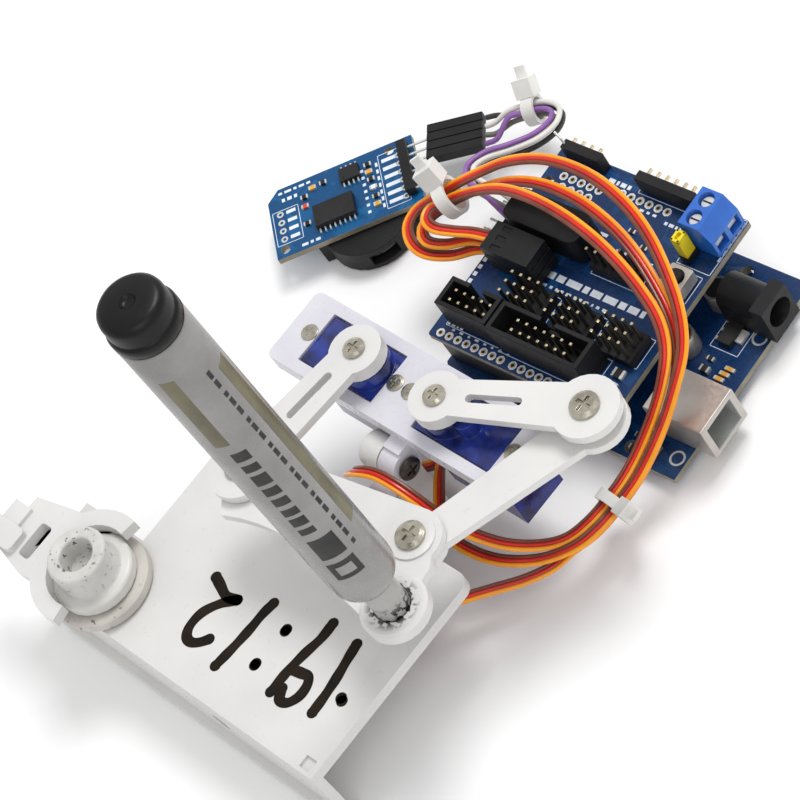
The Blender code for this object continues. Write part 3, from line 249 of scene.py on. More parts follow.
def mixed(tree, factor, first, second):
    mix = tree.nodes.new("ShaderNodeMix")
    mix.data_type = "RGBA"
    tree.links.new(factor, mix.inputs["Factor"])
    for socket, value in ((mix.inputs[6], first), (mix.inputs[7], second)):
        if isinstance(value, tuple):
            socket.default_value = (*value, 1.0)
        else:
            tree.links.new(value, socket)
    return mix.outputs[2]


def multiplied(tree, first, second):
    made = tree.nodes.new("ShaderNodeMath")
    made.operation = "MULTIPLY"
    tree.links.new(first, made.inputs[0])
    tree.links.new(second, made.inputs[1])
    return made.outputs[0]


def step_of(tree, factor, low, high):
    made = tree.nodes.new("ShaderNodeMapRange")
    made.inputs["From Min"].default_value = low
    made.inputs["From Max"].default_value = high
    tree.links.new(factor, made.inputs["Value"])
    return made.outputs["Result"]


def distance_mask(tree, centre, near, far):
    """1 within the near distance of a point in millimetres, falling to 0 at the far one."""
    place = tree.nodes.new("ShaderNodeTexCoord")
    length = tree.nodes.new("ShaderNodeVectorMath")
    length.operation = "DISTANCE"
    length.inputs[1].default_value = tuple(Vector(centre) * MM)
    tree.links.new(place.outputs["Object"], length.inputs[0])
    made = tree.nodes.new("ShaderNodeMapRange")
    made.inputs["From Min"].default_value = near * MM
    made.inputs["From Max"].default_value = far * MM
    made.inputs["To Min"].default_value = 1.0
    made.inputs["To Max"].default_value = 0.0
    tree.links.new(length.outputs["Value"], made.inputs["Value"])
    return made.outputs["Result"]


def stained(name, colour, other, rough, centre, near, far, amount, grain=900):
    """White plastic or felt with dried black ink, fading out between two distances from a point."""
    made, tree, shader = node_tree(name)
    base = ramp_of(tree, noise_of(tree, 70), 0.35, 0.68, colour, other)
    spots = step_of(tree, noise_of(tree, 760, 2.0, 0.45), 1.0 - amount, 1.04 - amount)
    mask = multiplied(tree, spots, distance_mask(tree, centre, near, far))
    cloud = step_of(tree, noise_of(tree, 150, 5.0), 0.42, 0.75)
    smear = multiplied(tree, cloud, distance_mask(tree, centre, near, far))
    dirty = mixed(tree, smear, base, tuple(0.62 * c for c in colour))
    tree.links.new(mixed(tree, mask, dirty, (0.015, 0.014, 0.013)), shader.inputs["Base Color"])
    fine = noise_of(tree, grain, 6.0)
    tree.links.new(range_of(tree, fine, rough - 0.05, rough + 0.06), shader.inputs["Roughness"])
    bump_of(tree, shader, fine, 0.2, 0.0002)
    made.diffuse_color = (*colour, 1.0)
    return made


def circuit_blue(name, dark, light):
    """Solder mask over copper: paler tracks along cell edges, and fine gloss."""
    made, tree, shader = node_tree(name)
    place = tree.nodes.new("ShaderNodeTexCoord")
    cells = tree.nodes.new("ShaderNodeTexVoronoi")
    cells.distance = "CHEBYCHEV"
    cells.feature = "F2"
    cells.inputs["Scale"].default_value = 260
    tree.links.new(place.outputs["Object"], cells.inputs["Vector"])
    tracks = ramp_of(tree, cells.outputs["Distance"], 0.62, 0.68, dark, light)
    shade = ramp_of(tree, noise_of(tree, 40), 0.4, 0.62, (0.0, 0.0, 0.0), (1.0, 1.0, 1.0))
    tree.links.new(mixed(tree, shade, tracks, dark), shader.inputs["Base Color"])
    fine = noise_of(tree, 1500, 4.0)
    tree.links.new(range_of(tree, fine, 0.24, 0.36), shader.inputs["Roughness"])
    bump_of(tree, shader, cells.outputs["Distance"], 0.10, 0.0001)
    shader.inputs["Specular IOR Level"].default_value = 0.35
    made.diffuse_color = (*dark, 1.0)
    return made


def print_sleeve(name):
    """Marker sleeve: satin grey film that drifts between two greys."""
    made, tree, shader = node_tree(name)
    base = ramp_of(tree, noise_of(tree, 60), 0.35, 0.65, (0.21, 0.205, 0.20), (0.29, 0.285, 0.28))
    tree.links.new(base, shader.inputs["Base Color"])
    fine = noise_of(tree, 700, 6.0)
    tree.links.new(range_of(tree, fine, 0.22, 0.32), shader.inputs["Roughness"])
    bump_of(tree, shader, fine, 0.05, 0.0002)
    shader.inputs["Metallic"].default_value = 0.35
    shader.inputs["Coat Weight"].default_value = 0.25
    shader.inputs["Coat Roughness"].default_value = 0.2
    made.diffuse_color = (0.6, 0.6, 0.58, 1.0)
    return made


def clear_blue(name):
    """Translucent blue case with darker works showing through."""
    made, tree, shader = node_tree(name)
    colour = ramp_of(tree, noise_of(tree, 160, 3.0), 0.40, 0.62, (0.006, 0.010, 0.075), (0.014, 0.034, 0.27))
    tree.links.new(colour, shader.inputs["Base Color"])
    fine = noise_of(tree, 800, 5.0)
    tree.links.new(range_of(tree, fine, 0.12, 0.24), shader.inputs["Roughness"])
    bump_of(tree, shader, fine, 0.06, 0.0002)
    shader.inputs["Coat Weight"].default_value = 0.25
    shader.inputs["Coat Roughness"].default_value = 0.12
    made.diffuse_color = (0.03, 0.05, 0.42, 1.0)
    return made


WHITE = surface("white_plastic", (0.70, 0.692, 0.675), (0.64, 0.634, 0.625), 0.32, 500, 45, 0.03, coat=0.12)
FRAME_WHITE = surface("lavender_white", (0.68, 0.672, 0.71), (0.59, 0.58, 0.65), 0.30, 500, 45, 0.03,
                      coat=0.12)
RING_WHITE = stained("inked_ring_white", (0.70, 0.692, 0.675), (0.64, 0.634, 0.625), 0.32,
                     (PEN.x, PEN.y, 44.4), 4.4, 6.4, 0.52)
CAP_WHITE = stained("inked_cap_white", (0.66, 0.65, 0.62), (0.56, 0.55, 0.52), 0.36,
                    (ERASER.x, ERASER.y, 35.5), 3.0, 11.0, 0.37)
FELT = stained("stained_felt", (0.60, 0.57, 0.52), (0.46, 0.43, 0.39), 0.92,
               (ERASER.x, -49.0, 23.0), 4.0, 16.0, 0.35, 2400)
BLUE_CASE = clear_blue("servo_blue_case")
NICKEL = surface("nickel_screw", (0.56, 0.53, 0.44), (0.36, 0.33, 0.27), 0.22, 1400, 260, 0.15, metallic=0.92)
SHELL = surface("nickel_shell", (0.56, 0.53, 0.49), (0.45, 0.42, 0.38), 0.34, 1100, 90, 0.10, metallic=0.75)
DARK_STEEL = surface("black_screw", (0.10, 0.085, 0.075), (0.05, 0.045, 0.04), 0.38, 1200, 200, 0.15,
                     metallic=0.8)
BRASS = surface("dull_brass", (0.42, 0.34, 0.17), (0.20, 0.16, 0.09), 0.36, 1200, 220, 0.15, metallic=0.85)
GOLD = surface("gold_pin", (0.80, 0.66, 0.42), (0.60, 0.50, 0.34), 0.26, 1200, 200, 0.08, metallic=0.95)
TIN = surface("tinned_pad", (0.74, 0.74, 0.72), (0.60, 0.60, 0.58), 0.32, 1600, 240, 0.12, metallic=0.55)
BLACK = surface("black_moulding", (0.007, 0.007, 0.008), (0.013, 0.013, 0.014), 0.46, 1400, 90, 0.18,
                specular=0.25)
DARK_PIN = surface("dull_pin", (0.07, 0.06, 0.045), (0.03, 0.028, 0.022), 0.40, 1400, 120, 0.10, metallic=0.7)
GLOSS_BLACK = surface("gloss_black_cap", (0.005, 0.004, 0.004), (0.010, 0.009, 0.009), 0.34, 900, 60, 0.05,
                      specular=0.22)
CHIP = surface("chip_black", (0.018, 0.018, 0.019), (0.010, 0.010, 0.011), 0.52, 1800, 120, 0.2, specular=0.3)
PCB = circuit_blue("shield_mask", (0.003, 0.028, 0.105), (0.006, 0.060, 0.19))
PCB_LIGHT = circuit_blue("clock_mask", (0.002, 0.066, 0.19), (0.004, 0.115, 0.29))
LAMINATE = surface("board_edge", (0.30, 0.27, 0.20), (0.20, 0.18, 0.14), 0.6, 1500, 200, 0.3)
PRINT_WHITE = surface("white_print", (0.80, 0.84, 0.90), (0.64, 0.70, 0.80), 0.55, 1800, 300, 0.2)
CASE_GREY = surface("pale_insert", (0.42, 0.43, 0.42), (0.30, 0.31, 0.30), 0.5, 1400, 160, 0.15)
TERMINAL = surface("terminal_blue", (0.02, 0.16, 0.62), (0.015, 0.11, 0.48), 0.36, 1200, 90, 0.12, coat=0.1)
YELLOW = surface("yellow_link", (0.86, 0.70, 0.01), (0.74, 0.56, 0.01), 0.38, 1200, 120, 0.12)
WIRE_ORANGE = surface("wire_orange", (0.93, 0.36, 0.004), (0.85, 0.28, 0.003), 0.32, 900, 120, 0.06, coat=0.2)
WIRE_RED = surface("wire_red", (0.70, 0.016, 0.008), (0.52, 0.010, 0.006), 0.32, 900, 120, 0.06, coat=0.2)
WIRE_BROWN = surface("wire_brown", (0.22, 0.055, 0.025), (0.12, 0.028, 0.012), 0.36, 900, 120, 0.06,
                     coat=0.15)
JUMPER_COLOURS = {
    "jumper_black": surface("wire_black", (0.020, 0.020, 0.020), (0.035, 0.033, 0.03), 0.40, 900, 120, 0.06),
    "jumper_white": surface("wire_white", (0.76, 0.74, 0.70), (0.62, 0.60, 0.56), 0.40, 900, 120, 0.06),
    "jumper_grey": surface("wire_grey", (0.20, 0.19, 0.18), (0.13, 0.12, 0.11), 0.40, 900, 120, 0.06),
    "jumper_purple": surface("wire_purple", (0.30, 0.13, 0.42), (0.20, 0.08, 0.30), 0.40, 900, 120, 0.06),
}
NECK = stained("inked_neck", (0.46, 0.455, 0.44), (0.38, 0.375, 0.36), 0.34,
               (PEN.x, PEN.y, 44.6), 4.2, 6.0, 0.50)
NYLON = surface("nylon_tie", (0.78, 0.77, 0.73), (0.66, 0.65, 0.62), 0.36, 900, 80, 0.10, coat=0.1)
SLEEVE = print_sleeve("marker_sleeve")
OLIVE = surface("olive_print", (0.15, 0.135, 0.065), (0.09, 0.082, 0.04), 0.34, 700, 120, 0.06)
INK = surface("board_ink", (0.006, 0.005, 0.004), (0.022, 0.013, 0.007), 0.55, 900, 140, 0.10, specular=0.12)
PRINT_BLACK = surface("black_print", (0.010, 0.010, 0.011), (0.030, 0.030, 0.028), 0.40, 900, 200, 0.05,
                      specular=0.3)
CELL = surface("coin_cell", (0.60, 0.60, 0.60), (0.50, 0.50, 0.50), 0.30, 1200, 60, 0.06, metallic=0.9)
COPPER = surface("amber_part", (0.80, 0.40, 0.03), (0.62, 0.30, 0.03), 0.35, 1200, 200, 0.10)
RED_PART = surface("red_part", (0.72, 0.06, 0.03), (0.55, 0.04, 0.02), 0.40, 1200, 120, 0.10)
FLOOR = surface("studio_floor", (0.94, 0.94, 0.94), (0.92, 0.92, 0.92), 0.9, 300, 4, 0.02)


# Mesh building --------------------------------------------------------------------------------
def arc(centre, radius, start, end, steps):
    points = []
    for i in range(steps + 1):
        angle = math.radians(start + (end - start) * i / steps)
        points.append((centre[0] + radius * math.cos(angle), centre[1] + radius * math.sin(angle)))
    return points


class Maker:
    """Collects small solids, each with its own material, into one mesh."""

    def __init__(self):
        self.mesh = bmesh.new()
        self.materials = []

    def paint(self, faces, material):
        if material not in self.materials:
            self.materials.append(material)
        for face in faces:
            face.material_index = self.materials.index(material)

    def prism(self, outline, z0, z1, material):
        bottom = [self.mesh.verts.new((x, y, z0)) for x, y in outline]
        top = [self.mesh.verts.new((x, y, z1)) for x, y in outline]
        faces = [self.mesh.faces.new(bottom[::-1]), self.mesh.faces.new(top)]
        for i in range(len(outline)):
            j = (i + 1) % len(outline)
            faces.append(self.mesh.faces.new((bottom[i], bottom[j], top[j], top[i])))
        self.paint(faces, material)

    def box(self, x0, y0, z0, x1, y1, z1, material):
        self.prism([(x0, y0), (x1, y0), (x1, y1), (x0, y1)], z0, z1, material)

    def disc(self, centre, radius, z0, z1, material, sides):
        self.prism(arc(centre, radius, 0, 360, sides)[:-1], z0, z1, material)

    def lathe(self, profile, centre, material, sides):
        """Solid of revolution: the profile is (radius, height) pairs from bottom to top."""
        rings = []
        for radius, height in profile:
            if radius == 0:
                rings.append([self.mesh.verts.new((centre[0], centre[1], height))])
            else:
                ring = arc(centre, radius, 0, 360, sides)[:-1]
                rings.append([self.mesh.verts.new((x, y, height)) for x, y in ring])
        faces = []
        for lower, upper in zip(rings, rings[1:]):
            for i in range(sides):
                j = (i + 1) % sides
                corners = [lower[i % len(lower)], lower[j % len(lower)],
                           upper[j % len(upper)], upper[i % len(upper)]]
                faces.append(self.mesh.faces.new(list(dict.fromkeys(corners))))
        self.paint(faces, material)

    def ring(self, centre, inner, outer, z0, z1, material, sides):
        """Flat washer."""
        loops = []
        for radius, height in ((inner, z0), (outer, z0), (outer, z1), (inner, z1)):
            points = arc(centre, radius, 0, 360, sides)[:-1]
            loops.append([self.mesh.verts.new((x, y, height)) for x, y in points])
        faces = []
        for a, b in zip(loops, loops[1:] + loops[:1]):
            for i in range(sides):
                j = (i + 1) % sides
                faces.append(self.mesh.faces.new((a[i], a[j], b[j], b[i])))
        self.paint(faces, material)

    def tube(self, points, radius, material, sides):
        """Round rod along points, closed at both ends."""
        route = [Vector(p) for p in points]
        rings = []
        side = None
        for index, point in enumerate(route):
            along = (route[min(index + 1, len(route) - 1)] - route[max(index - 1, 0)]).normalized()
            if side is None:
                side = along.orthogonal().normalized()
            side = (side - along * side.dot(along)).normalized()
            up = along.cross(side)
            ring = []
            for i in range(sides):
                turn = math.tau * i / sides
                reach = side * math.cos(turn) + up * math.sin(turn)
                ring.append(self.mesh.verts.new(point + radius * reach))
            rings.append(ring)
        faces = [self.mesh.faces.new(rings[0][::-1]), self.mesh.faces.new(rings[-1])]
        for lower, upper in zip(rings, rings[1:]):
            for i in range(sides):
                j = (i + 1) % sides
                faces.append(self.mesh.faces.new((lower[i], lower[j], upper[j], upper[i])))
        self.paint(faces, material)

    def patch(self, centre, radius, turn0, turn1, z0, z1, material):
        """Thin curved label on a vertical cylinder, between two angles and two heights."""
        steps = max(2, round(abs(turn1 - turn0) / 5))
        outer = arc(centre, radius + LABEL_DEPTH, turn0, turn1, steps)
        inner = arc(centre, radius - LABEL_DEPTH, turn1, turn0, steps)
        self.prism(outer + inner, z0, z1, material)

    def made(self, name, body, slot, place=Matrix.Identity(4), bevel=0.0, replaces=()):
        bmesh.ops.transform(self.mesh, matrix=Matrix.Scale(MM, 4) @ place, verts=self.mesh.verts)
        bmesh.ops.recalc_face_normals(self.mesh, faces=self.mesh.faces)
        data = bpy.data.meshes.new(name)
        self.mesh.to_mesh(data)
        self.mesh.free()
        for material in self.materials:
            data.materials.append(material)
        piece = bpy.data.objects.new(name, data)
        bpy.context.scene.collection.objects.link(piece)
        finish_surface(piece, bevel)
        if body:
            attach(piece, body)
        if replaces:
            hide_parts(*replaces)
        return piece


def finish_surface(piece, bevel, segments=2):
    piece.data.shade_smooth()
    piece.data.set_sharp_from_angle(angle=SMOOTH_LIMIT)
    if bevel:
        rounding = piece.modifiers.new("edges", "BEVEL")
        rounding.width = bevel * MM
        rounding.segments = segments
        rounding.limit_method = "ANGLE"
        rounding.angle_limit = SMOOTH_LIMIT
        rounding.harden_normals = True


def body_of_node(node):
    for body, members in frame["record"]["behaviour"]["bodies"].items():
        if node in members:
            return body
    raise KeyError(node)


def refined(node, materials, bevel, choose=None, segments=2):
    """Copy of a CAD node with rounded edges. choose(centre, normal) gives each face's material."""
    mesh = bmesh.new()
    mesh.from_mesh(frame["nodes"][node].data)
    bmesh.ops.remove_doubles(mesh, verts=mesh.verts, dist=MERGE_DISTANCE)
    bmesh.ops.dissolve_limit(mesh, angle_limit=FLAT_LIMIT, verts=mesh.verts, edges=mesh.edges)
    for face in mesh.faces:
        face.material_index = choose(face.calc_center_median() / MM, face.normal) if choose else 0
    data = bpy.data.meshes.new(node + "_finished")
    mesh.to_mesh(data)
    mesh.free()
    for material in materials:
        data.materials.append(material)
    piece = bpy.data.objects.new(node + "_finished", data)
    bpy.context.scene.collection.objects.link(piece)
    finish_surface(piece, bevel, segments)
    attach(piece, body_of_node(node))
    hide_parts(node)
    return piece


# Camera and cords -----------------------------------------------------------------------------
def build_camera():
    right, down = Vector(CAMERA_RIGHT), Vector(CAMERA_DOWN)
    ahead = right.cross(down)
    turn = Matrix((right, -down, -ahead)).transposed().to_4x4()
    data = bpy.data.cameras.new("camera")
    data.lens = CAMERA_LENS
    data.sensor_width = 36.0
    data.clip_end = 10.0
    camera = bpy.data.objects.new("camera", data)
    camera.matrix_world = Matrix.Translation(Vector(CAMERA_PLACE) * MM) @ turn
    bpy.context.scene.collection.objects.link(camera)
    bpy.context.scene.camera = camera


def smooth_route(points, step):
    """Catmull-Rom curve through the points, read at even steps along its length."""
    route = [Vector(p) for p in points]
    padded = [2 * route[0] - route[1], *route, 2 * route[-1] - route[-2]]
    fine = []
    for a, b, c, d in zip(padded, padded[1:], padded[2:], padded[3:]):
        for i in range(24):
            t = i / 24
            fine.append(0.5 * (2 * b + (c - a) * t + (2 * a - 5 * b + 4 * c - d) * t ** 2
                               + (3 * b - 3 * c + d - a) * t ** 3))
    fine.append(route[-1])
    lengths = [0.0]
    for p, q in zip(fine, fine[1:]):
        lengths.append(lengths[-1] + (q - p).length)
    count = max(2, round(lengths[-1] / step))
    even, index = [], 0
    for i in range(count + 1):
        wanted = lengths[-1] * i / count
        while index < len(fine) - 2 and lengths[index + 1] < wanted:
            index += 1
        span = lengths[index + 1] - lengths[index]
        share = (wanted - lengths[index]) / span if span else 0.0
        even.append(fine[index].lerp(fine[index + 1], min(1.0, share)))
    return even


def beside(centre_line, angle, spacing):
    """Points of one cord in a bundle, at its own angle round the bundle's centre line.

    The fourth number of each entry is how much wider than its spacing the bundle is there.
    """
    centres = [Vector(entry[:3]) for entry in centre_line]
    points = []
    for index, entry in enumerate(centre_line):
        before, after = centres[max(0, index - 1)], centres[min(len(centres) - 1, index + 1)]
        along = (after - before).normalized()
        side = along.cross(Vector((0, 0, 1))).normalized()
        up = side.cross(along)
        turn = math.radians(angle)
        across = side * spacing * entry[3] * math.cos(turn)
        points.append(centres[index] + across + up * spacing * math.sin(turn))
    return points


def ribbon_sides(route):
    """Direction across the ribbon at each point: level, and smoothed where the route is steep."""
    sides = []
    for index in range(len(route)):
        along = (route[min(index + 1, len(route) - 1)] - route[max(index - 1, 0)]).normalized()
        level = along.cross(Vector((0, 0, 1)))
        if sides:
            level = level + sides[-1] * 1.5
            level -= along * level.dot(along)
        sides.append(level.normalized())
    for _ in range(6):
        sides = [(sides[max(0, i - 1)] + sides[i] + sides[min(len(sides) - 1, i + 1)]).normalized()
                 for i in range(len(sides))]
    return sides


def ribbon(name, body, route, sides):
    """Three wires side by side; with no body, the piece is left unattached."""
    maker = Maker()
    for offset, material in ((1, WIRE_ORANGE), (0, WIRE_RED), (-1, WIRE_BROWN)):
        line = [p + s * offset * WIRE_PITCH for p, s in zip(route, sides)]
        maker.tube(line, WIRE_RADIUS, material, 10)
    return maker.made(name, body, "lead_red")


def build_leads():
    for node, angle in LEAD_PLACES.items():
        points = [*LEAD_STARTS[node], *beside(LEAD_BUNDLE, angle, LEAD_SPACING), *LEAD_ENDS[node]]
        route = smooth_route(points, ROUTE_STEP)
        sides = ribbon_sides(route)
        first = 0
        if node in LEAD_TAILS:
            first, start, end = LEAD_TAILS[node]
            tail = ribbon(node + "_tail", None, route[:first + 1], sides[:first + 1])
            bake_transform(tail)
        piece = ribbon(node + "_ribbon", "base", route[first:], sides[first:])
        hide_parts(node)


def build_jumpers():
    for node, angle in JUMPER_PLACES.items():
        points = [*JUMPER_STARTS[node], *beside(JUMPER_BUNDLE, angle, JUMPER_SPACING), *JUMPER_ENDS[node]]
        route = smooth_route(points, ROUTE_STEP)
        maker = Maker()
        maker.tube(route, JUMPER_RADIUS, JUMPER_COLOURS[node], 12)
        piece = maker.made(node + "_wire", "base", node, replaces=(node,))


# White base, eraser and print -----------------------------------------------------------------
def build_base():
    refined("board_base", [WHITE], 0.35)
    refined("rear_stand", [WHITE], 0.35)
    refined("eraser_clip", [WHITE], 0.30)
    refined("skirt_screw", [BRASS], 0.10)
    refined("hinge_screw", [DARK_STEEL], 0.12)
    refined("lift_servo", [BLUE_CASE], 0.30)
    refined("lift_horn", [WHITE], 0.20)
    maker = Maker()
    for stroke in STROKES:
        ink_stroke(maker, stroke)
    maker.made("written_time", "base", "white")


def ink_stroke(maker, points):
    """Flat rounded line of ink lying on the board, a little uneven in width."""
    route = smooth_route([(x, y, BOARD_TOP) for x, y in points], INK_STEP)
    left, right = [], []
    for index, point in enumerate(route):
        along = (route[min(index + 1, len(route) - 1)] - route[max(index - 1, 0)]).normalized()
        across = Vector((-along.y, along.x, 0))
        half = STROKE_WIDTH / 2 * (1 + 0.06 * math.sin(index * 0.37))
        left.append(point + across * half)
        right.append(point - across * half)
    for i in range(len(route) - 1):
        corners = (right[i], right[i + 1], left[i + 1], left[i])
        maker.prism([(p.x, p.y) for p in corners], BOARD_TOP, BOARD_TOP + SKIN, INK)
    for end in (route[0], route[-1]):
        maker.disc((end.x, end.y), STROKE_WIDTH / 2 * 1.08, BOARD_TOP, BOARD_TOP + SKIN + 0.01, INK, 28)


def build_eraser():
    x, y = ERASER.x, ERASER.y
    felt = Maker()
    low = BOARD_TOP + 0.3
    felt.lathe([(0, low), (11.5, low), (11.9, low + 0.5), (11.95, low + 1.5), (11.8, low + 2.6),
                (11.3, low + 3.05), (0, low + 3.1)], (x, y), FELT, 72)
    felt.made("eraser_felt_pad", "eraser", "felt", replaces=("eraser_felt",))
    refined("eraser_cap", [CAP_WHITE], 0.25)


# Lifting frame, linkage and marker --------------------------------------------------------------
def build_frame_and_links():
    refined("frame_plate", [FRAME_WHITE], 0.45)
    for node in ("left_servo", "right_servo"):
        refined(node, [BLUE_CASE], 0.25)
    for index in range(1, 5):
        refined(f"ear_screw_{index}", [NICKEL], 0.06)
    for node in ("left_arm", "right_arm", "right_forearm"):
        refined(node, [WHITE], 0.40)
    refined("left_forearm", [RING_WHITE], 0.40)
    for node in ("left_horn_screw", "right_horn_screw", "left_elbow_screw", "right_elbow_screw",
                 "wrist_screw"):
        refined(node, [NICKEL], 0.14)


def build_marker():
    tip, end = MARKER_TIP, MARKER_END
    x, y = PEN.x, PEN.y
    barrel = Maker()
    barrel.lathe([(0, tip), (0.8, tip), (1.5, tip + 0.4), (1.9, tip + 1.2), (2.1, tip + 3.0)],
                 (x, y), INK, 64)
    barrel.lathe([(2.1, tip + 3.0), (2.9, tip + 3.7), (3.7, tip + 7.0), (NECK_RADIUS, tip + 9.0),
                  (NECK_RADIUS, tip + 22.4)], (x, y), NECK, 64)
    barrel.lathe([(NECK_RADIUS, tip + 22.4), (5.2, tip + 23.1), (6.3, tip + 24.2), (6.9, tip + 25.4),
                  (7.2, tip + 26.8), (MARKER_RADIUS, tip + 28.5), (MARKER_RADIUS, end - 8.8),
                  (7.1, end - 8.4), (0, end - 8.4)], (x, y), SLEEVE, 96)
    barrel.made("marker_barrel_finished", "marker", "barrel", replaces=("marker_barrel",))
    cap = Maker()
    cap.lathe([(0, end - CAP_LENGTH), (7.2, end - CAP_LENGTH), (CAP_RIM_RADIUS, end - 7.7),
               (CAP_RIM_RADIUS, end - 5.8), (7.2, end - 5.4), (CAP_RADIUS, end - 5.1),
               (CAP_RADIUS, end - 2.0), (6.7, end - 1.1), (6.1, end - 0.4), (5.3, end - 0.05),
               (2.6, end), (1.7, end - 0.05), (1.3, end - 0.6), (0.8, end - 0.8), (0, end - 0.8)],
              (x, y), GLOSS_BLACK, 96)
    cap.made("marker_cap_finished", "marker", "black", replaces=("marker_cap",))
    marker_print(x, y)


def marker_print(x, y):
    """Plain printed bars and panels on the sleeve: no lettering."""
    panel = Maker()
    radius = MARKER_RADIUS
    panel.patch((x, y), radius, -62, -38, 121, 144, OLIVE)
    panel.patch((x, y), radius, 26, 52, 80, 138, OLIVE)
    for start, length in ((115, 3), (111, 2.4), (106, 3.6), (102, 2.6), (98, 2.6), (94, 2.4), (90, 2.8),
                          (86.6, 2)):
        panel.patch((x, y), radius, -50, -24, start, start + length, PRINT_BLACK)
    for index in range(21):
        height = 76 + index * 3.1
        panel.patch((x, y), radius, 4, 11, height, height + (2.3 if index % 3 else 1.4), PRINT_BLACK)
    panel.patch((x, y), radius, -52, -8, 76.5, 84, PRINT_BLACK)
    panel.patch((x, y), radius, -54, -6, 68.5, 74.5, PRINT_BLACK)
    panel.patch((x, y), radius + 0.06, -44, -16, 70, 73, SLEEVE)
    panel.patch((x, y), radius, 118, 172, 92, 128, OLIVE)
    for index in range(6):
        height = 72 + index * 2.6
        panel.patch((x, y), radius, 122, 168 - 7 * (index % 3), height, height + 1.2, PRINT_BLACK)
    panel.patch((x, y), radius, 205, 246, 104, 118, PRINT_BLACK)
    for index in range(12):
        panel.patch((x, y), radius + 0.06, 208 + 3 * index, 209.4 + 3 * index, 106, 116, SLEEVE)
    panel.made("marker_print", "marker", "barrel")


# Electronics ----------------------------------------------------------------------------------
def flat_or_edge(centre, normal):
    """Solder mask on a board's two faces, bare laminate round its edge."""
    return 0 if abs(normal.z) > FACES_UP else 1


def pins_above(level):
    """Moulding below the level, dull pin sides above it and bright pin ends."""
    def choose(centre, normal):
        if centre.z < level:
            return 0
        return 2 if normal.z > FACES_UP else 1
    return choose


def outline(maker, x0, y0, x1, y1, z):
    """White printed rectangle."""
    for a, b, c, d in ((x0, y0, x1, y0 + PRINT_LINE), (x0, y1 - PRINT_LINE, x1, y1),
                       (x0, y0, x0 + PRINT_LINE, y1), (x1 - PRINT_LINE, y0, x1, y1)):
        maker.box(a, b, z, c, d, z + SKIN, PRINT_WHITE)


def ring_row(maker, x, y, count, z, pitch):
    """Row of ringed solder holes, each with a black disc of painted shade where the hole is open."""
    for index in range(count):
        centre = (x + pitch * index, y)
        maker.ring(centre, *PRINT_RING, z, z + SKIN, PRINT_WHITE, 8)
        maker.ring(centre, *SOLDER_RING, z, z + 2 * SKIN, GOLD, 16)
        # Black disc standing for the open hole: painted shade of its inside.
        maker.disc(centre, HOLE_RADIUS, z, z + SKIN, BLACK, 16)


def dashes(maker, x, y, z, lengths, height, gap):
    """Row of plain printed bars where the board carries its legends."""
    for length in lengths:
        maker.box(x, y, z, x + length, y + height, z + SKIN, PRINT_WHITE)
        x += length + gap


def chip(maker, x, y, length, width, z, legs, height):
    """Small-outline chip with its legs along both long sides."""
    maker.box(x - length / 2, y - width / 2, z + 0.15, x + length / 2, y + width / 2, z + height, CHIP)
    maker.disc((x - length / 2 + 0.9, y - width / 2 + 0.9), 0.35, z + height, z + height + SKIN, BLACK, 12)
    for index in range(legs):
        px = x - length / 2 + length * (index + 0.5) / legs
        for side in (-1, 1):
            y0, y1 = sorted((y + side * (width / 2 - 0.1), y + side * (width / 2 + 0.55)))
            maker.box(px - 0.2, y0, z + 0.6, px + 0.2, y1, z + 0.8, TIN)
            y0, y1 = sorted((y + side * (width / 2 + 0.4), y + side * (width / 2 + 1.1)))
            maker.box(px - 0.2, y0, z, px + 0.2, y1, z + 0.62, TIN)


def small_part(maker, x, y, z, length, width, height, middle):
    """Two-ended surface part: tinned ends and a coloured middle."""
    maker.box(x - length / 2, y - width / 2, z, x + length / 2, y + width / 2, z + height, TIN)
    maker.box(x - length * 0.28, y - width / 2 - 0.03, z, x + length * 0.28, y + width / 2 + 0.03,
              z + height + 0.04, middle)


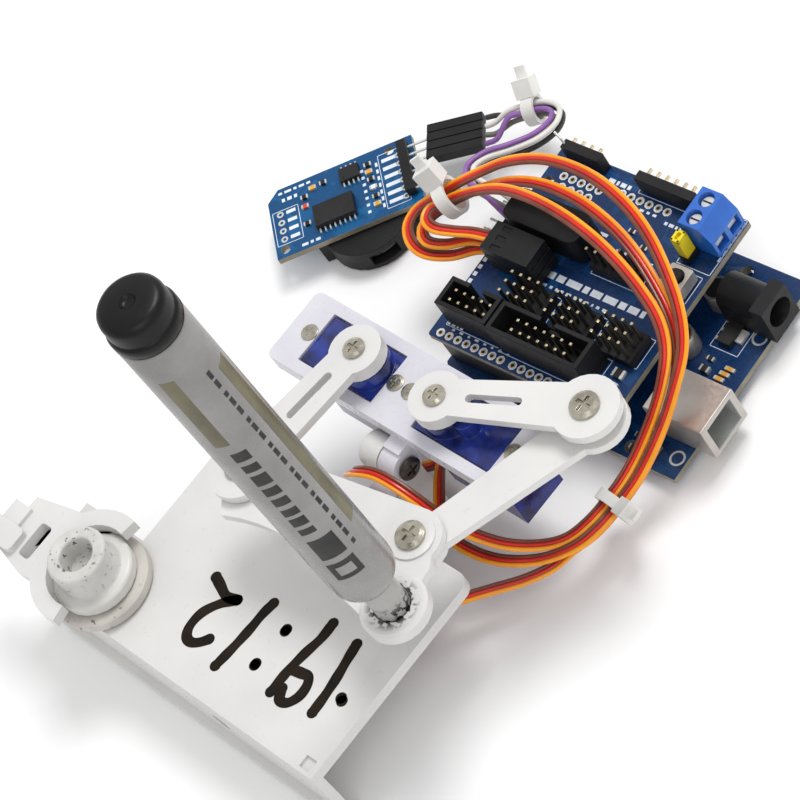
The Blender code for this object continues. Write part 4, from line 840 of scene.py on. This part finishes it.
def build_controller():
    refined("controller_board", [PCB, LAMINATE], 0.08, flat_or_edge)
    refined("usb_socket", [SHELL, CASE_GREY], 0.30,
            lambda centre, normal: 1 if in_usb_mouth(CONTROLLER.inverted() @ centre) else 0)
    refined("power_jack", [BLACK], 0.25)
    z = CONTROLLER_TOP
    maker = Maker()
    maker.box(23.6, 5.6, z + 0.1, 27.2, 12.2, z + 1.8, CHIP)
    maker.box(27.2, 7.3, z, 28.9, 10.5, z + 0.9, TIN)
    for index in range(3):
        maker.box(22.2, 6.2 + 2.3 * index, z, 23.6, 7.0 + 2.3 * index, z + 0.7, TIN)
    for index in range(4):
        small_part(maker, 28.6 + 0.5 * index, -3.4 + 1.5 * index, z, 2.6, 0.9, 0.6, COPPER)
    small_part(maker, 24.8, -1.2, z, 2.4, 1.5, 1.0, CHIP)
    small_part(maker, 24.4, 1.6, z, 1.8, 1.0, 0.7, CHIP)
    for x, y in ((31.6, 10.5), (31.8, -22.0)):
        maker.ring((x, y), 1.4, 1.9, z, z + SKIN, TIN, 24)
    for x, y in ((18.4, 15.2), (17.6, 2.0)):
        maker.lathe([(0, z), (3.2, z), (3.3, z + 0.4), (3.2, z + 5.2), (3.0, z + 5.5), (0, z + 5.5)],
                    (x, y), SHELL, 36)
        maker.disc((x, y), 2.5, z + 5.5, z + 5.56, CHIP, 30)
    for x, y in ((20.5, -21.0), (22.3, -18.2), (21.0, -24.0)):
        small_part(maker, x, y, z, 1.9, 1.1, 0.7, CHIP)
    outline(maker, 21.8, 4.4, 29.6, 13.2, z)
    outline(maker, 22.6, -9.4, 30.8, -5.0, z)
    maker.made("controller_parts", "base", "black", CONTROLLER, 0.05)
    switch = Maker()
    switch.box(22.0, -25.4, z, 27.4, -21.2, z + 1.8, SHELL)
    switch.lathe([(0, z + 1.6), (1.35, z + 1.6), (1.3, z + 2.6), (0, z + 2.7)], (24.7, -23.3), RED_PART, 24)
    switch.made("controller_switch", "base", "nickel", CONTROLLER, 0.12)


def in_usb_mouth(place):
    return 28.0 < place.x < 40.3 and abs(place.y + 12.5) < 4.4 and 5.1 < place.z < 13.3


def build_shield():
    refined("shield_board", [PCB, LAMINATE], 0.08, flat_or_edge)
    refined("stack_header", [BLACK], 0.20)
    for node in ("box_header_small", "box_header_large"):
        refined(node, [BLACK], 0.16)
    for index in range(1, 5):
        refined(f"pin_block_{index}", [BLACK, DARK_PIN, GOLD], 0.08, pins_above(SHIELD_TOP + 2.85))
    for index in range(1, 4):
        refined(f"servo_plug_{index}", [BLACK], 0.16)
    refined("jumper_plug_bank", [BLACK], 0.30)
    refined("rear_header", [BLACK], 0.15)
    refined("terminal_block", [TERMINAL], 0.18)
    refined("reset_base", [SHELL], 0.10)
    refined("reset_button", [BLACK], 0.10)
    print_shield(SHIELD_TOP)
    build_shield_parts(SHIELD_TOP)


def print_shield(z):
    """Ringed holes, printed rectangles and plain bars on the shield."""
    print_layer = Maker()
    for x, y, count, pitch in SHIELD_HOLES:
        ring_row(print_layer, x, y, count, z, pitch)
    for x0, y0, x1, y1 in SHIELD_OUTLINES:
        outline(print_layer, x0, y0, x1, y1, z)
    for x, y, lengths, height, gap in SHIELD_LEGENDS:
        dashes(print_layer, x, y, z, lengths, height, gap)
    for index in range(10):
        print_layer.box(-26.6, -20.0 + 2.0 * index, z, -25.6, -18.9 + 2.0 * index, z + SKIN, PRINT_WHITE)
    for index in range(6):
        print_layer.box(26.0, 15.4 + 1.9 * index, z, 26.7, 16.7 + 1.9 * index, z + SKIN, PRINT_WHITE)
    print_layer.made("shield_print", "base", "pcb", SHIELD)


def header_pin(maker, x, y, z):
    maker.box(x - 0.32, y - 0.32, z + 2.6, x + 0.32, y + 0.32, z + 7.7, DARK_PIN)
    maker.box(x - 0.32, y - 0.32, z + 7.7, x + 0.32, y + 0.32, z + 8.0, GOLD)


def build_shield_parts(z):
    parts = Maker()
    parts.box(-23.4, 24.2, z, -12.4, 26.6, z + 5.4, BLACK)
    for index in range(12):
        x = -22.6 + PITCH * index if index < 4 else -0.4 + PITCH * (index - 4)
        if x < 14.0:
            parts.box(x - 0.3, 26.0, z + 3.0, x + 0.3, 28.4, z + 3.6, GOLD)
    parts.tube([(-23.0, 25.4, z + 5.2), (-23.6, 25.6, z + 6.6), (-25.6, 26.2, z + 7.4)], 0.32, TIN, 8)
    for index in range(6):
        y = -1.6 + PITCH * index
        parts.tube([(-25.6, y, z + 1.2), (-28.4, y, z + 1.3), (-30.6, y, z + 1.3)], 0.34, TIN, 8)
    parts.box(-26.4, -3.4, z, -24.2, 12.6, z + 2.5, BLACK)
    for column in range(7):
        for row in range(2):
            x, y = -2.6 + PITCH * column, -20.6 + PITCH * row
            header_pin(parts, x, y, z)
    for column in range(5):
        for row in range(2):
            x, y = -21.4 + PITCH * column, -20.1 + PITCH * row
            header_pin(parts, x, y, z)
    small_part(parts, 22.2, -17.2, z, 3.0, 2.2, 0.9, CHIP)
    small_part(parts, 22.2, -20.2, z, 3.0, 1.6, 0.7, PRINT_WHITE)
    for x, y in ((-5.2, 14.4), (-1.4, 13.6), (3.0, 14.2), (8.2, 11.6), (15.4, 9.4), (16.2, 1.8)):
        small_part(parts, x, y, z, 1.8, 1.0, 0.6, CHIP)
    parts.made("shield_parts", "base", "black", SHIELD, 0.05)
    link = Maker()
    link.box(18.3, 12.3, z + 0.3, 21.1, 15.8, z + 2.2, BLACK)
    link.box(18.5, 12.5, z + 2.2, 20.9, 15.6, z + 7.6, YELLOW)
    for x0, y0, x1, y1 in ((18.5, 12.5, 19.2, 15.6), (20.2, 12.5, 20.9, 15.6),
                           (18.5, 12.5, 20.9, 13.2), (18.5, 14.9, 20.9, 15.6)):
        link.box(x0, y0, z + 7.6, x1, y1, z + 8.6, YELLOW)
    link.made("jumper_link", "base", "black", SHIELD, 0.12)
    screws = Maker()
    for y in (18.9, 23.7):
        screws.lathe([(0, z + 6.4), (1.75, z + 6.4), (1.75, z + 8.6), (1.5, z + 8.9), (0, z + 8.9)],
                     (21.4, y), TIN, 28)
        # Thin black bar standing for the screw's slot: painted shade, as the slot itself is not cut.
        screws.box(20.0, y - 0.22, z + 8.86, 22.8, y + 0.22, z + 8.96, CHIP)
        screws.box(24.2, y - 1.5, z + 2.0, 25.2, y + 1.5, z + 3.8, TIN)
    screws.made("terminal_screws", "base", "nickel", SHIELD, 0.06)


def build_clock():
    refined("clock_board", [PCB_LIGHT, LAMINATE], 0.06, flat_or_edge)
    refined("clock_cell_holder", [BLACK], 0.25)
    refined("clock_header", [BLACK], 0.12)
    refined("jumper_housings", [BLACK], 0.15)
    cell = Maker()
    cell.lathe([(0, 1.7), (9.0, 1.7), (9.5, 2.1), (9.6, 3.4), (9.3, 4.5), (0, 4.6)], (3.5, -5.5), CELL, 60)
    cell.made("coin_cell_disc", "base", "nickel", CLOCK)
    build_clock_parts(CLOCK_TOP)


def build_clock_parts(z):
    parts = Maker()
    chip(parts, -2.6, -3.6, 10.2, 6.2, z, 8, 2.1)
    chip(parts, 2.6, 5.6, 4.9, 3.9, z, 4, 1.5)
    for index in range(6):
        parts.box(10.6, -7.4 + PITCH * index, z, 14.2, -6.3 + PITCH * index, z + SKIN, PRINT_WHITE)
        parts.ring((14.9, -6.9 + PITCH * index), 0.4, 0.85, z, z + SKIN, TIN, 14)
    for index in range(4):
        parts.ring((-16.4, -5.0 + PITCH * index), 0.42, 0.9, z, z + SKIN, TIN, 14)
        parts.box(-14.8, -5.5 + PITCH * index, z, -12.4, -4.5 + PITCH * index, z + SKIN, PRINT_WHITE)
    for x, y, colour in ((7.2, 6.4, CHIP), (7.2, 4.2, COPPER), (7.4, 1.8, CHIP), (7.6, -0.8, PRINT_WHITE),
                         (-4.4, 6.6, CHIP), (-7.2, 6.4, COPPER), (-9.6, 4.6, CHIP), (-9.8, 1.8, RED_PART),
                         (7.8, -3.6, CHIP), (7.8, -6.0, COPPER), (-10.0, -3.4, CHIP)):
        small_part(parts, x, y, z, 1.9, 1.1, 0.6, colour)
    for index in range(7):
        parts.box(8.9, -7.6 + 2.1 * index, z, 9.5, -6.4 + 2.1 * index, z + SKIN, PRINT_WHITE)
        parts.box(5.0, -7.6 + 2.1 * index, z, 5.8, -6.8 + 2.1 * index, z + SKIN, PRINT_WHITE)
    dashes(parts, -16.0, 8.4, z, (1.0, 1.8, 0.8, 1.4, 1.0), 0.7, 0.6)
    dashes(parts, -15.4, 6.0, z, (0.8, 1.2, 0.8), 1.0, 0.6)
    dashes(parts, -12.4, -9.2, z, (1.6, 0.8, 1.2), 0.8, 0.6)
    outline(parts, -18.4, -6.6, -11.6, 3.8, z)
    outline(parts, 9.8, -8.6, 16.0, 8.0, z)
    for index in range(6):
        y = -6.9 + PITCH * index
        parts.tube([(16.8, y, z + 1.3), (19.0, y, z + 1.3), (21.4, y, z + 1.2), (23.6, y, z + 1.0)],
                   0.32, TIN, 8)
    parts.made("clock_parts", "base", "black", CLOCK, 0.05)


# Ties, floor and light ------------------------------------------------------------------------
def build_ties():
    for node in ("servo_tie", "bundle_tie", "jumper_tie"):
        refined(node, [NYLON], 0.30, None, 3)


def build_stage():
    bpy.ops.mesh.primitive_grid_add(x_subdivisions=2, y_subdivisions=2, size=FLOOR_SIZE,
                                    location=(0, 0, FLOOR_HEIGHT))
    floor = bpy.context.object
    floor.name = "floor"
    floor.data.materials.append(FLOOR)


def area_light(name, place, aim, size, power):
    data = bpy.data.lights.new(name, "AREA")
    data.shape = "DISK"
    data.size = size
    data.energy = power
    light = bpy.data.objects.new(name, data)
    light.location = place
    light.rotation_euler = (Vector(aim) - Vector(place)).to_track_quat("-Z", "Y").to_euler()
    bpy.context.scene.collection.objects.link(light)


def build_light():
    world = bpy.data.worlds.new("studio")
    world.use_nodes = True
    world.node_tree.nodes["Background"].inputs["Color"].default_value = (1.0, 1.0, 1.0, 1.0)
    world.node_tree.nodes["Background"].inputs["Strength"].default_value = 0.72
    bpy.context.scene.world = world
    bpy.context.scene.view_settings.view_transform = "Standard"
    area_light("key", (-0.05, 0.55, 1.05), (0.0, 0.02, 0.03), 0.5, 7.0)
    area_light("fill", (0.55, -0.35, 0.8), (0.0, 0.02, 0.03), 0.7, 1.6)


build_camera()
build_leads()
build_jumpers()
build_base()
build_eraser()
build_frame_and_links()
build_marker()
build_controller()
build_shield()
build_clock()
build_ties()
build_stage()
build_light()
